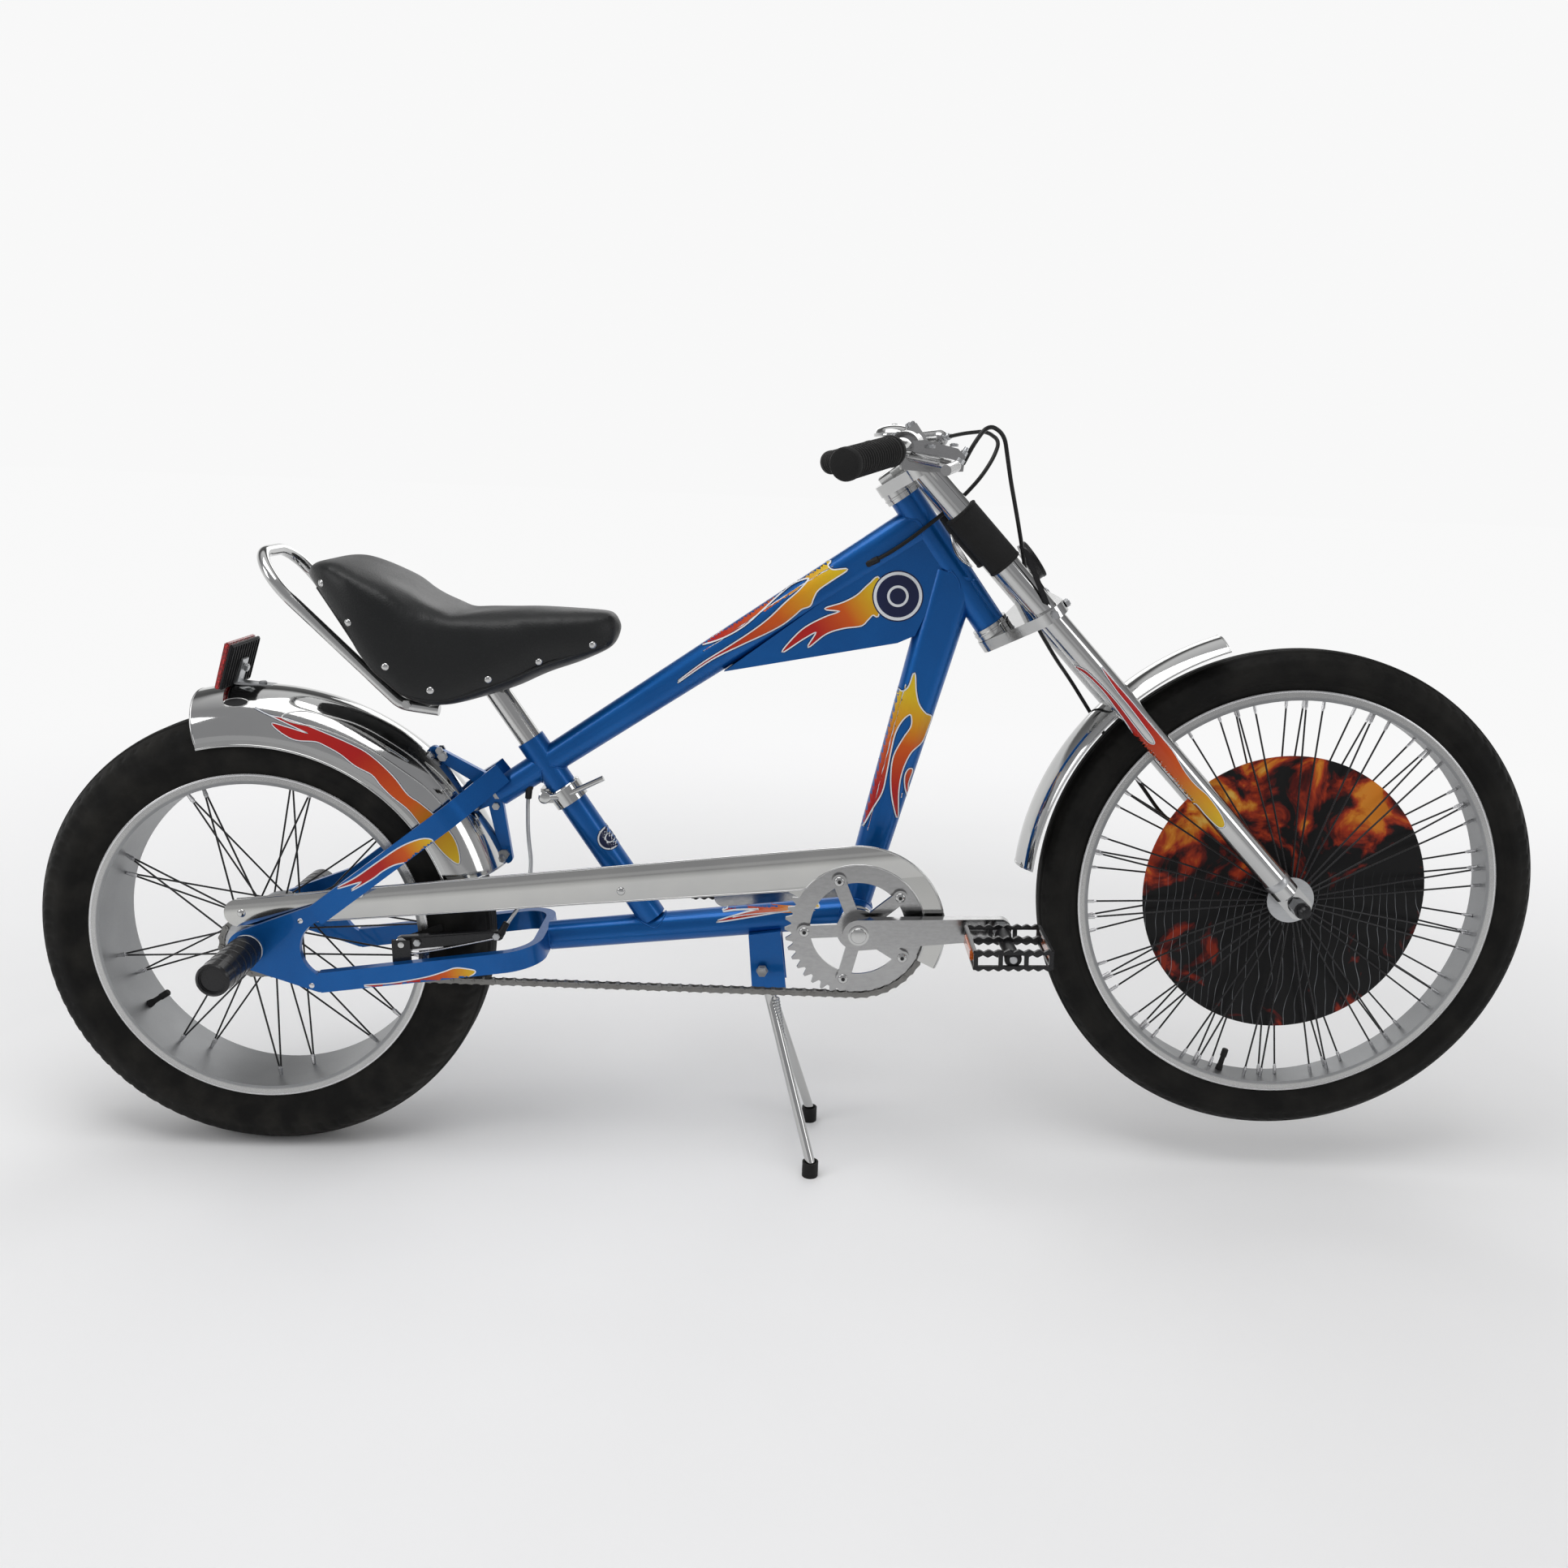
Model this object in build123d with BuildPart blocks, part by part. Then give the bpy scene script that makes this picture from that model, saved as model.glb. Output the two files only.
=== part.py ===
from build123d import *
import os
from math import acos, asin, atan2, cos, hypot, pi, radians, sin, tan

os.makedirs("parts", exist_ok=True)

# Chopper bicycle parked on its twin-leg centre stand.
# Millimetres, +X forward, +Y to the rider's left, +Z up, the floor at Z = 0.
# Pairs (x, z) are measured from the rear axle along the frame's own level line.

# Rear wheel, 20 inch with a fat tyre
rear_tyre_radius = 278.0
rear_tyre_width = 105.0
rear_rim_radius = 207.5
rear_rim_width = 89.0
rear_spoke_count = 36
# Front wheel, 24 inch with a narrow tyre
front_tyre_radius = 309.0
front_tyre_width = 56.0
front_rim_radius = 260.9
front_rim_width = 37.0
front_spoke_count = 72
front_axle = (1270.0, 46.6)
rim_wall = 2.6
rim_depth = 12.5
tyre_wall = 4.0
bead_depth = 7.0
spoke_radius = 1.15
spoke_seat = -1.5
# Hubs and axles
rear_hub_radius = 21.0
rear_flange_radius = 34.0
rear_flange_offset = 40.0
rear_axle_radius = 6.9
front_hub_radius = 16.0
front_flange_radius = 29.0
front_flange_offset = 30.0
front_axle_radius = 4.9
flange_thickness = 3.2
card_radius = 177.0
card_thickness = 1.5
card_offset = 5.0
# Clearances
running_gap = 0.3
bearing_gap = 0.06
# Head tube and steering axis
head_top = (786.0, 536.0)
head_bottom = (890.0, 386.0)
head_tube_radius = 19.0
tube_wall = 2.0
headset_height = 12.7
headset_radius = 22.5
steerer_radius = 12.7
# Frame tubes
top_tube_rear = (292.0, 174.5)
top_tube_rear_size = (34.0, 32.0)
top_tube_front_size = (48.0, 36.0)
top_tube_meet = 37.5
down_tube_meet = (109.0, -1.2)
down_tube_foot = (729.7, 21.9)
down_tube_foot_size = (37.0, 36.0)
down_tube_top_size = (60.0, 37.0)
bottom_bracket = (733.0, 21.0)
shell_radius = 21.0
shell_width = 73.0
bottom_tube_rear = (349.0, -11.0)
bottom_tube_rear_radius = 18.0
bottom_tube_front_radius = 19.5
seat_tube_foot = (477.4, 14.0)
seat_tube_top = (332.4, 242.0)
seat_tube_radius = 17.5
seat_tube_wall = 3.0
gusset_half_width = 15.0
gusset_sheet = 2.0
# Rear triangle
stay_inner = 72.0
stay_thickness = 12.0
seat_stay_height = 26.0
chain_stay_height = 25.0
seat_stay_root = (84.0, 42.0)
seat_stay_bend = (251.0, 166.0)
chain_stay_root = (84.0, -42.0)
chain_stay_front = (316.0, -15.5)
bridge_nose = 343.0
bridge_bend_radius = 38.0
dropout_thickness = 8.0
dropout_nose_radius = 24.0
dropout_notch = (101.0, 0.0)
dropout_notch_radius = 38.0
peg_radius = 19.5
peg_wall = 5.0
peg_length = 98.0
peg_neck = 6.0
peg_neck_radius = 17.0
# Drive
chain_line = 63.75
chain_pitch = 12.7
chain_width = 8.5
chain_height = 8.4
link_plate = 1.6
roller_radius = 3.9
ring_teeth = 42
cog_teeth = 18
sprocket_thickness = 3.0
tooth_rise = 3.6
tooth_fall = 4.0
ring_bore = 58.0
ring_bolt_circle = 130.0
crank_length = 170.0
crank_angle = 2.5
crank_inner = 77.0
crank_thickness = 13.0
crank_boss_radius = 19.0
crank_eye_radius = 13.0
spindle_radius = 8.5
spider_thickness = 5.0
pedal_start = 104.0
pedal_width = 88.0
pedal_length = 92.0
pedal_height = 24.0
pedal_rail = 8.0
pedal_pin_radius = 6.0
# Chain guard
guard_inner = 69.5
guard_sheet = 1.5
guard_height = 34.0
guard_rear = (-12.0, 42.0)
guard_outer_radius = 105.0
guard_window_radius = 82.0
# Stand
stand_pivot = (615.0, -46.0)
stand_foot = (676.0, -302.0)
stand_spread = 73.0
stand_leg_radius = 6.0
stand_leg_root = 14.0
stand_straight = 48.0
stand_tube_radius = 9.0
stand_bolt_radius = 4.0
stand_foot_radius = 10.0
stand_foot_height = 19.0
bracket_inner = 22.0
bracket_sheet = 3.0
# Saddle, post and sissy bar
post_radius = 14.3
post_start = 110.0
post_end = 352.0
seat_half_width = 98.0
seat_nose_half_width = 37.0
sissy_radius = 7.0
sissy_half_width = 62.0
# Fenders
fender_sheet = 1.5
rear_fender_gap = 32.0
rear_fender_radius = rear_tyre_radius + rear_fender_gap
rear_fender_half_width = 58.5
rear_fender_skirt = 6.5
rear_fender_start = 16.0
rear_fender_end = 102.0
front_fender_gap = 31.0
front_fender_radius = front_tyre_radius + front_fender_gap
front_fender_half_width = 34.0
front_fender_start = 107.0
front_fender_end = 173.5
# Fork
leg_spacing = 62.0
leg_radius = 15.5
leg_wall = 2.5
leg_top = 713.0
leg_end = 26.0
sleeve_radius = 20.0
sleeve_low = 556.0
sleeve_high = 637.0
clamp_thickness = 14.0
clamp_ring_wall = 7.5
clamp_neck_radius = 24.0
fork_dropout_inner = 56.0
fork_dropout_thickness = 6.0
fork_dropout_radius = 15.0
# Handlebar
bar_radius = 11.1
bar_wall = 2.0
bar_points = [(792.0, 598.0, 50.0), (768.0, 590.0, 172.0), (706.0, 574.0, 302.0)]
bar_bend_radius = 70.0
grip_radius = 16.5
grip_length = 122.0
bell_place = (778.0, 607.0, 80.0)
bell_radius = 25.0
# Cables and the front hub's brake
cable_radius = 2.4
brake_drum_radius = 40.0
brake_drum_start = 33.0
brake_plate_radius = 43.0
brake_plate_inner = 41.0
brake_plate_thickness = 5.0
brake_arm_end = (1188.0, 100.0)
guide_hole = [(926.0, 440.0, -44.0), (956.0, 352.0, -22.0)]
guide_radius = 6.0

# Where the parts stand: on the two feet and the rear tyre, nose up by the park angle
park = -asin(rear_tyre_radius / hypot(*stand_foot)) - atan2(stand_foot[1], stand_foot[0])
axle_run = front_axle[0] * cos(park) - front_axle[1] * sin(park)
rear_axle_x = rear_tyre_radius - (rear_tyre_radius + axle_run + front_tyre_radius) / 2


def at(x, z, y=0.0):
    """A point of the bike, x ahead of and z above the rear axle, y to the left"""
    return Vector(
        rear_axle_x + x * cos(park) - z * sin(park),
        y,
        rear_tyre_radius + x * sin(park) + z * cos(park),
    )


level = at(1, 0) - at(0, 0)
upward = at(0, 1) - at(0, 0)


def side(y, origin=(0.0, 0.0)):
    """A plane seen from the right, x forward and y up, at y to the left"""
    return Plane(origin=at(*origin, y), x_dir=level, z_dir=(0, -1, 0))


def slope(start, end):
    """A plane that holds a line of the side view and the sideways direction"""
    run = at(*end) - at(*start)
    return Plane(origin=at(*start), x_dir=run, z_dir=run.cross(Vector(0, 1, 0)))


def wheel_plane(axle):
    """Local x is the radius and local y the sideways place"""
    return Plane(origin=at(*axle), x_dir=(1, 0, 0), z_dir=(0, 0, 1))


def polar(radius, angle, centre=(0.0, 0.0)):
    """A point of the side view at a radius and an angle from a centre"""
    return (centre[0] + radius * cos(radians(angle)), centre[1] + radius * sin(radians(angle)))


def rod(start, end, radius):
    """A solid round bar between two points"""
    with BuildPart(Plane(origin=start, z_dir=end - start)) as piece:
        Cylinder(radius, (end - start).length, align=(Align.CENTER, Align.CENTER, Align.MIN))
    return piece.part


def taper(start, end, start_radius, end_radius):
    """A solid cone between two points"""
    with BuildPart(Plane(origin=start, z_dir=end - start)) as piece:
        Cone(start_radius, end_radius, (end - start).length, align=(Align.CENTER, Align.CENTER, Align.MIN))
    return piece.part


def oval_tube(start, end, start_size, end_size, wall):
    """A solid tube whose sections are slots, each given by its height and width, less a wall"""
    with BuildPart() as piece:
        run = end - start
        for place, (height, width) in ((start, start_size), (end, end_size)):
            with BuildSketch(Plane(origin=place, x_dir=run.cross(Vector(0, 1, 0)), z_dir=run)):
                SlotOverall(height - 2 * wall, width - 2 * wall)
        loft()
    return piece.part


def bar_along(points, radii, radius):
    """A round bar along straight runs joined by tangent arcs"""
    with BuildPart() as piece:
        with BuildLine() as path:
            FilletPolyline(*points, radius=radii)
        with BuildSketch(Plane(origin=path.line @ 0, z_dir=path.line % 0)):
            Circle(radius)
        sweep(path=path.line)
    return piece.part


# Steering axis: s runs down it from the head tube's top, n ahead of it
head_length = hypot(head_bottom[0] - head_top[0], head_bottom[1] - head_top[1])
axis_x = (head_bottom[0] - head_top[0]) / head_length
axis_z = (head_bottom[1] - head_top[1]) / head_length


def steer(s, n=0.0, y=0.0):
    """A point s below the head tube's top and n ahead of the steering axis"""
    return at(head_top[0] + s * axis_x - n * axis_z, head_top[1] + s * axis_z + n * axis_x, y)


def steer_plane(s):
    """A plane across the steering axis, x ahead and y to the left, facing up"""
    return Plane(origin=steer(s), x_dir=steer(0, 1) - steer(0, 0), z_dir=steer(0) - steer(1))


def steer_place(x, z):
    """The s and n of a point of the side view"""
    dx, dz = x - head_top[0], z - head_top[1]
    return dx * axis_x + dz * axis_z, -dx * axis_z + dz * axis_x


# Fork legs run from the front axle to the clamps, a little flatter than the head tube
leg_slope = (-0.668, 0.744)


def leg_point(t, y):
    """A point of a leg's line, t up from the front axle"""
    return at(front_axle[0] + leg_slope[0] * t, front_axle[1] + leg_slope[1] * t, y)


# Head tube with the bores of the headset
with BuildPart() as head_tube:
    add(rod(steer(0), steer(head_length), head_tube_radius))
    add(rod(steer(0), steer(head_length), head_tube_radius - tube_wall), mode=Mode.SUBTRACT)
head_tube.part.label = "head_tube"
export_step(head_tube.part, "parts/head_tube.step")

# Headset: one cup at each end of the head tube
with BuildPart() as headset:
    for low, high in ((0, -headset_height), (head_length, head_length + headset_height)):
        add(rod(steer(low), steer(high), headset_radius))
        add(rod(steer(low), steer(high), steerer_radius + running_gap), mode=Mode.SUBTRACT)
headset.part.label = "headset"
export_step(headset.part, "parts/headset.step")

head_solid = rod(steer(0), steer(head_length), head_tube_radius)

# Bottom bracket shell, open for the bearings
shell_left = at(*bottom_bracket, shell_width / 2)
shell_right = at(*bottom_bracket, -shell_width / 2)
shell_solid = rod(shell_right, shell_left, shell_radius)
with BuildPart() as bottom_bracket_shell:
    add(shell_solid)
    add(rod(shell_right, shell_left, spindle_radius + running_gap), mode=Mode.SUBTRACT)
bottom_bracket_shell.part.label = "bottom_bracket_shell"
export_step(bottom_bracket_shell.part, "parts/bottom_bracket_shell.step")

# Down tube, a taper from the bottom bracket to the head tube
down_ends = (at(*down_tube_foot), steer(*down_tube_meet))
down_solid = oval_tube(*down_ends, down_tube_foot_size, down_tube_top_size, 0)
with BuildPart() as down_tube:
    add(down_solid)
    add(oval_tube(*down_ends, down_tube_foot_size, down_tube_top_size, tube_wall), mode=Mode.SUBTRACT)
    add(head_solid, mode=Mode.SUBTRACT)
    add(shell_solid, mode=Mode.SUBTRACT)
down_tube.part.label = "down_tube"
export_step(down_tube.part, "parts/down_tube.step")

# Seat tube through the top tube, with its foot on the bottom tube
seat_line = (at(*seat_tube_foot), at(*seat_tube_top))
seat_tube_solid = rod(*seat_line, seat_tube_radius)
bottom_ends = (at(*bottom_tube_rear), at(*bottom_bracket))
bottom_solid = taper(*bottom_ends, bottom_tube_rear_radius, bottom_tube_front_radius)
with BuildPart() as seat_tube:
    add(seat_tube_solid)
    add(rod(*seat_line, seat_tube_radius - seat_tube_wall), mode=Mode.SUBTRACT)
    add(bottom_solid, mode=Mode.SUBTRACT)
seat_tube.part.label = "seat_tube"
export_step(seat_tube.part, "parts/seat_tube.step")

# Bottom tube from the stay bridge to the bottom bracket
with BuildPart() as bottom_tube:
    add(bottom_solid)
    add(
        taper(*bottom_ends, bottom_tube_rear_radius - tube_wall, bottom_tube_front_radius - tube_wall),
        mode=Mode.SUBTRACT,
    )
    add(shell_solid, mode=Mode.SUBTRACT)
    add(down_solid, mode=Mode.SUBTRACT)
bottom_tube.part.label = "bottom_tube"
export_step(bottom_tube.part, "parts/bottom_tube.step")

# Top tube, a taper that ends behind the seat tube
top_ends = (at(*top_tube_rear), steer(top_tube_meet))
top_solid = oval_tube(*top_ends, top_tube_rear_size, top_tube_front_size, 0)
with BuildPart() as top_tube:
    add(top_solid)
    add(oval_tube(*top_ends, top_tube_rear_size, top_tube_front_size, tube_wall), mode=Mode.SUBTRACT)
    add(head_solid, mode=Mode.SUBTRACT)
    add(seat_tube_solid, mode=Mode.SUBTRACT)
top_tube.part.label = "top_tube"
export_step(top_tube.part, "parts/top_tube.step")

# Gusset: a sheet box in the corner of the top tube, head tube and down tube
gusset_corners = [(571.0, 328.0), (779.0, 363.0), (800.0, 372.0), (838.0, 452.0), (800.0, 492.0)]
with BuildPart() as gusset:
    with BuildSketch(side(gusset_half_width)):
        Polygon(*gusset_corners, align=None)
    extrude(amount=2 * gusset_half_width)
    with BuildSketch(side(gusset_half_width - gusset_sheet)):
        Polygon(*gusset_corners, align=None)
        offset(amount=-2 * gusset_sheet, kind=Kind.INTERSECTION)
    extrude(amount=2 * (gusset_half_width - gusset_sheet), mode=Mode.SUBTRACT)
    add(top_solid, mode=Mode.SUBTRACT)
    add(head_solid, mode=Mode.SUBTRACT)
    add(down_solid, mode=Mode.SUBTRACT)
gusset.part.label = "gusset"
export_step(gusset.part, "parts/gusset.step")

# Dropouts: plates that hold the rear axle, with a round notch between the stays
dropout_inner = stay_inner + (stay_thickness - dropout_thickness) / 2
with BuildPart() as dropouts:
    with BuildSketch(side(-dropout_inner)):
        Circle(dropout_nose_radius)
        with Locations(seat_stay_root):
            Circle(seat_stay_height / 2)
        with Locations(chain_stay_root):
            Circle(chain_stay_height / 2)
        make_hull()
        with Locations(dropout_notch):
            Circle(dropout_notch_radius, mode=Mode.SUBTRACT)
        Circle(rear_axle_radius, mode=Mode.SUBTRACT)
    extrude(amount=dropout_thickness)
    mirror(about=Plane.XZ)
dropouts.part.label = "dropouts"
export_step(dropouts.part, "parts/dropouts.step")
dropout_solid = dropouts.part

# Seat stays: flat bars from the dropouts that close in on the top tube's end
stay_line = stay_inner + stay_thickness / 2
stay_run = hypot(seat_stay_bend[0] - seat_stay_root[0], seat_stay_bend[1] - seat_stay_root[1])
with BuildPart() as seat_stays:
    with BuildSketch(slope(seat_stay_root, seat_stay_bend)):
        with BuildLine():
            FilletPolyline(
                (0, -stay_line),
                (stay_run, -stay_line),
                (stay_run + 58, -14),
                radius=30,
            )
        trace(line_width=stay_thickness)
    extrude(amount=seat_stay_height / 2, both=True)
    mirror(about=Plane.XZ)
    add(top_solid, mode=Mode.SUBTRACT)
    add(dropout_solid, mode=Mode.SUBTRACT)
seat_stays.part.label = "seat_stays"
export_step(seat_stays.part, "parts/seat_stays.step")

# Chain stays: flat bars from the dropouts to the bridge
chain_run = hypot(chain_stay_front[0] - chain_stay_root[0], chain_stay_front[1] - chain_stay_root[1])
nose_run = (bridge_nose - chain_stay_root[0]) * chain_run / (chain_stay_front[0] - chain_stay_root[0])
bridge_start = nose_run - bridge_bend_radius - 14
stay_slope = slope(chain_stay_root, chain_stay_front)
with BuildPart() as chain_stays:
    with BuildSketch(stay_slope):
        with Locations((bridge_start / 2, -stay_line)):
            Rectangle(bridge_start, stay_thickness)
    extrude(amount=chain_stay_height / 2, both=True)
    mirror(about=Plane.XZ)
    add(dropout_solid, mode=Mode.SUBTRACT)
chain_stays.part.label = "chain_stays"
export_step(chain_stays.part, "parts/chain_stays.step")

# Stay bridge: the bent bar ahead of the rear tyre that joins the chain stays
with BuildPart() as stay_bridge:
    with BuildSketch(stay_slope):
        with BuildLine():
            FilletPolyline(
                (bridge_start, -stay_line),
                (nose_run, -stay_line),
                (nose_run, stay_line),
                (bridge_start, stay_line),
                radius=bridge_bend_radius,
            )
        trace(line_width=stay_thickness)
    extrude(amount=chain_stay_height / 2, both=True)
    add(bottom_solid, mode=Mode.SUBTRACT)
stay_bridge.part.label = "stay_bridge"
export_step(stay_bridge.part, "parts/stay_bridge.step")

# Fender brackets: plates from the top tube's end and the seat stays to the rear fender's crown
bracket_legs = [(46.5, (281.0, 187.0)), (31.0, (290.0, 172.0)), (17.0, (288.0, 158.0))]
with BuildPart() as fender_bracket:
    with BuildSketch(side(4.0)):
        for crown_angle, tube_end in bracket_legs:
            with BuildSketch(mode=Mode.PRIVATE) as leg_outline:
                with Locations(polar(rear_fender_radius + 2, crown_angle)):
                    Circle(7)
                with Locations(tube_end):
                    Circle(9)
                make_hull()
            add(leg_outline.sketch)
        Circle(rear_fender_radius, mode=Mode.SUBTRACT)
    extrude(amount=8.0)
    add(top_solid, mode=Mode.SUBTRACT)
fender_bracket.part.label = "fender_bracket"
export_step(fender_bracket.part, "parts/fender_bracket.step")

# Stand bracket: two cheeks and a top plate under the bottom tube, with the pivot bolt
with BuildPart() as stand_bracket:
    with BuildSketch(side(bracket_inner + bracket_sheet)):
        Polygon((599, -2), (639, 3), (646, -77), (603, -74), align=None)
    extrude(amount=2 * (bracket_inner + bracket_sheet))
    with BuildSketch(side(bracket_inner)):
        Polygon((590, -10), (650, -5), (655, -90), (590, -90), align=None)
    extrude(amount=2 * bracket_inner, mode=Mode.SUBTRACT)
    add(rod(at(*stand_pivot, -bracket_inner - 9), at(*stand_pivot, bracket_inner + 9), stand_bolt_radius))
    add(bottom_solid, mode=Mode.SUBTRACT)
stand_bracket.part.label = "stand_bracket"
export_step(stand_bracket.part, "parts/stand_bracket.step")

# Stand: a cross tube on the bolt and two legs that splay to the feet
foot_run = at(*stand_foot) - at(*stand_pivot)
leg_along = foot_run.normalized()
with BuildPart() as stand_legs:
    add(
        rod(
            at(*stand_pivot, -bracket_inner + running_gap),
            at(*stand_pivot, bracket_inner - running_gap),
            stand_tube_radius,
        )
    )
    for hand in (-1, 1):
        root = at(*stand_pivot, hand * stand_leg_root)
        knee = root + leg_along * stand_straight
        foot = at(*stand_foot, hand * stand_spread) + Vector(0, 0, stand_foot_height - 2)
        add(bar_along([root, knee, foot], 30, stand_leg_radius))
    add(
        rod(
            at(*stand_pivot, -bracket_inner),
            at(*stand_pivot, bracket_inner),
            stand_bolt_radius + bearing_gap,
        ),
        mode=Mode.SUBTRACT,
    )
stand_legs.part.label = "stand_legs"
export_step(stand_legs.part, "parts/stand_legs.step")

# Rubber feet with level soles
with BuildPart() as stand_feet:
    for hand in (-1, 1):
        sole = at(*stand_foot, hand * stand_spread)
        add(rod(sole, sole + Vector(0, 0, stand_foot_height), stand_foot_radius))
    add(stand_legs.part, mode=Mode.SUBTRACT)
stand_feet.part.label = "stand_feet"
export_step(stand_feet.part, "parts/stand_feet.step")

# Seat post
seat_direction = (at(*seat_tube_top) - at(*seat_tube_foot)).normalized()
post_ends = [at(*seat_tube_foot) + seat_direction * t for t in (post_start, post_end, post_end - 4)]
post_solid = rod(post_ends[0], post_ends[1], post_radius)
with BuildPart() as seat_post:
    add(post_solid)
    add(rod(post_ends[0], post_ends[2], post_radius - tube_wall), mode=Mode.SUBTRACT)
seat_post.part.label = "seat_post"
export_step(seat_post.part, "parts/seat_post.step")

# Seat clamp: a split collar with a bolt and a lever
clamp_centre = at(*seat_tube_foot) + seat_direction * 178
with BuildPart() as seat_clamp:
    add(rod(clamp_centre, clamp_centre + seat_direction * 20, seat_tube_radius + 4))
    lug_plane = Plane(origin=clamp_centre + seat_direction * 10, x_dir=(0, 1, 0), z_dir=level * -1)
    with BuildSketch(lug_plane):
        Rectangle(22, 18)
    extrude(amount=seat_tube_radius + 14)
    bolt_middle = clamp_centre + seat_direction * 10 - level * (seat_tube_radius + 8)
    add(rod(bolt_middle + Vector(0, -20, 0), bolt_middle + Vector(0, 18, 0), 3))
    lever_start = bolt_middle + Vector(0, -17, 0)
    add(bar_along([lever_start, lever_start + level * 20, lever_start + level * 72 + upward * 24], 14, 3.5))
    add(seat_tube_solid, mode=Mode.SUBTRACT)
seat_clamp.part.label = "seat_clamp"
export_step(seat_clamp.part, "parts/seat_clamp.step")

# Saddle: a long padded seat, its side outline cut to its outline from above
seat_top_line = [(84.0, 446.0), (98.0, 462.0), (122.0, 465.0), (187.0, 433.0), (229.0, 405.0), (262.0, 395.0)]
seat_nose_line = [(359.0, 399.0), (439.0, 400.0), (452.0, 383.0), (440.0, 356.0)]
seat_foot_line = [(362.0, 334.0), (323.0, 316.0), (260.0, 296.0), (229.0, 294.0), (205.0, 305.0)]
seat_back_line = [(168.0, 340.0), (133.0, 395.0), (100.0, 436.0)]
with BuildPart() as seat:
    with BuildSketch(side(seat_half_width)):
        Polygon(*seat_top_line, *seat_nose_line, *seat_foot_line, *seat_back_line, align=None)
    extrude(amount=2 * seat_half_width)
    with BuildSketch(Plane(origin=at(0, 250), x_dir=level, z_dir=upward)):
        with Locations((175, 0)):
            Circle(seat_half_width)
        with Locations((405, 0)):
            Circle(seat_nose_half_width)
        make_hull()
        with Locations((452 - 30, 0)):
            Circle(30)
    extrude(amount=300, mode=Mode.INTERSECT)
    add(post_solid, mode=Mode.SUBTRACT)
seat.part.label = "seat"
export_step(seat.part, "parts/seat.step")
seat_solid = seat.part

# Sissy bar: a bent tube round the back of the seat, bolted under it
with BuildPart() as sissy_bar:
    sissy_side = [(240.0, 289.0), (196.0, 296.0), (68.0, 426.0), (36.0, 470.0)]
    right_side = [at(x, z, -sissy_half_width) for x, z in sissy_side]
    left_side = [at(x, z, sissy_half_width) for x, z in reversed(sissy_side)]
    add(bar_along([*right_side, *left_side], [30, 120, 45, 45, 120, 30], sissy_radius))
    add(seat_solid, mode=Mode.SUBTRACT)
sissy_bar.part.label = "sissy_bar"
export_step(sissy_bar.part, "parts/sissy_bar.step")

# Rear fender: a bent sheet with short straight skirts, over the rear tyre
with BuildPart() as rear_fender:
    crown_base = rear_fender_radius - rear_fender_half_width
    fender_start = Vector(level) * cos(radians(rear_fender_start)) + upward * sin(radians(rear_fender_start))
    with BuildSketch(Plane(origin=at(0, 0), x_dir=fender_start, z_dir=fender_start.cross(Vector(0, 1, 0)))):
        with BuildLine():
            Line((crown_base - rear_fender_skirt, -rear_fender_half_width), (crown_base, -rear_fender_half_width))
            RadiusArc((crown_base, -rear_fender_half_width), (crown_base, rear_fender_half_width), -rear_fender_half_width)
            Line((crown_base, rear_fender_half_width), (crown_base - rear_fender_skirt, rear_fender_half_width))
            inner_half = rear_fender_half_width - fender_sheet
            Line((crown_base - rear_fender_skirt, rear_fender_half_width), (crown_base - rear_fender_skirt, inner_half))
            Line((crown_base - rear_fender_skirt, inner_half), (crown_base, inner_half))
            RadiusArc((crown_base, inner_half), (crown_base, -inner_half), inner_half)
            Line((crown_base, -inner_half), (crown_base - rear_fender_skirt, -inner_half))
            Line((crown_base - rear_fender_skirt, -inner_half), (crown_base - rear_fender_skirt, -rear_fender_half_width))
        make_face()
    revolve(axis=Axis(at(0, 0), (0, -1, 0)), revolution_arc=rear_fender_end - rear_fender_start)
rear_fender.part.label = "rear_fender"
export_step(rear_fender.part, "parts/rear_fender.step")

# Rear reflector on its steel bracket, placed from the fender's crown
crown = rear_fender_radius
lens = [(-31.0, -2.0), (-21.0, -2.0), (-3.0, 52.0), (-13.0, 56.0)]
bracket_plate = [(-21.0, 1.0), (25.0, -3.0), (25.0, 1.5), (-15.0, 6.0), (-3.0, 40.0), (-7.0, 44.0)]
with BuildPart() as rear_reflector:
    with BuildSketch(side(42.0)):
        Polygon(*[(x, crown + rise) for x, rise in lens], align=None)
    extrude(amount=84.0)
    with BuildSketch(side(9.0)):
        Polygon(*[(x, crown + rise) for x, rise in bracket_plate], align=None)
    extrude(amount=18.0)
    add(rod(at(0, 0, -60), at(0, 0, 60), rear_fender_radius), mode=Mode.SUBTRACT)
rear_reflector.part.label = "rear_reflector"
export_step(rear_reflector.part, "parts/rear_reflector.step")

# Rear axle and its spacers
dropout_outer = dropout_inner + dropout_thickness
with BuildPart() as rear_axle:
    add(rod(at(0, 0, -dropout_outer - 24), at(0, 0, dropout_outer + 24), rear_axle_radius))
rear_axle.part.label = "rear_axle"
export_step(rear_axle.part, "parts/rear_axle.step")

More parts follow.
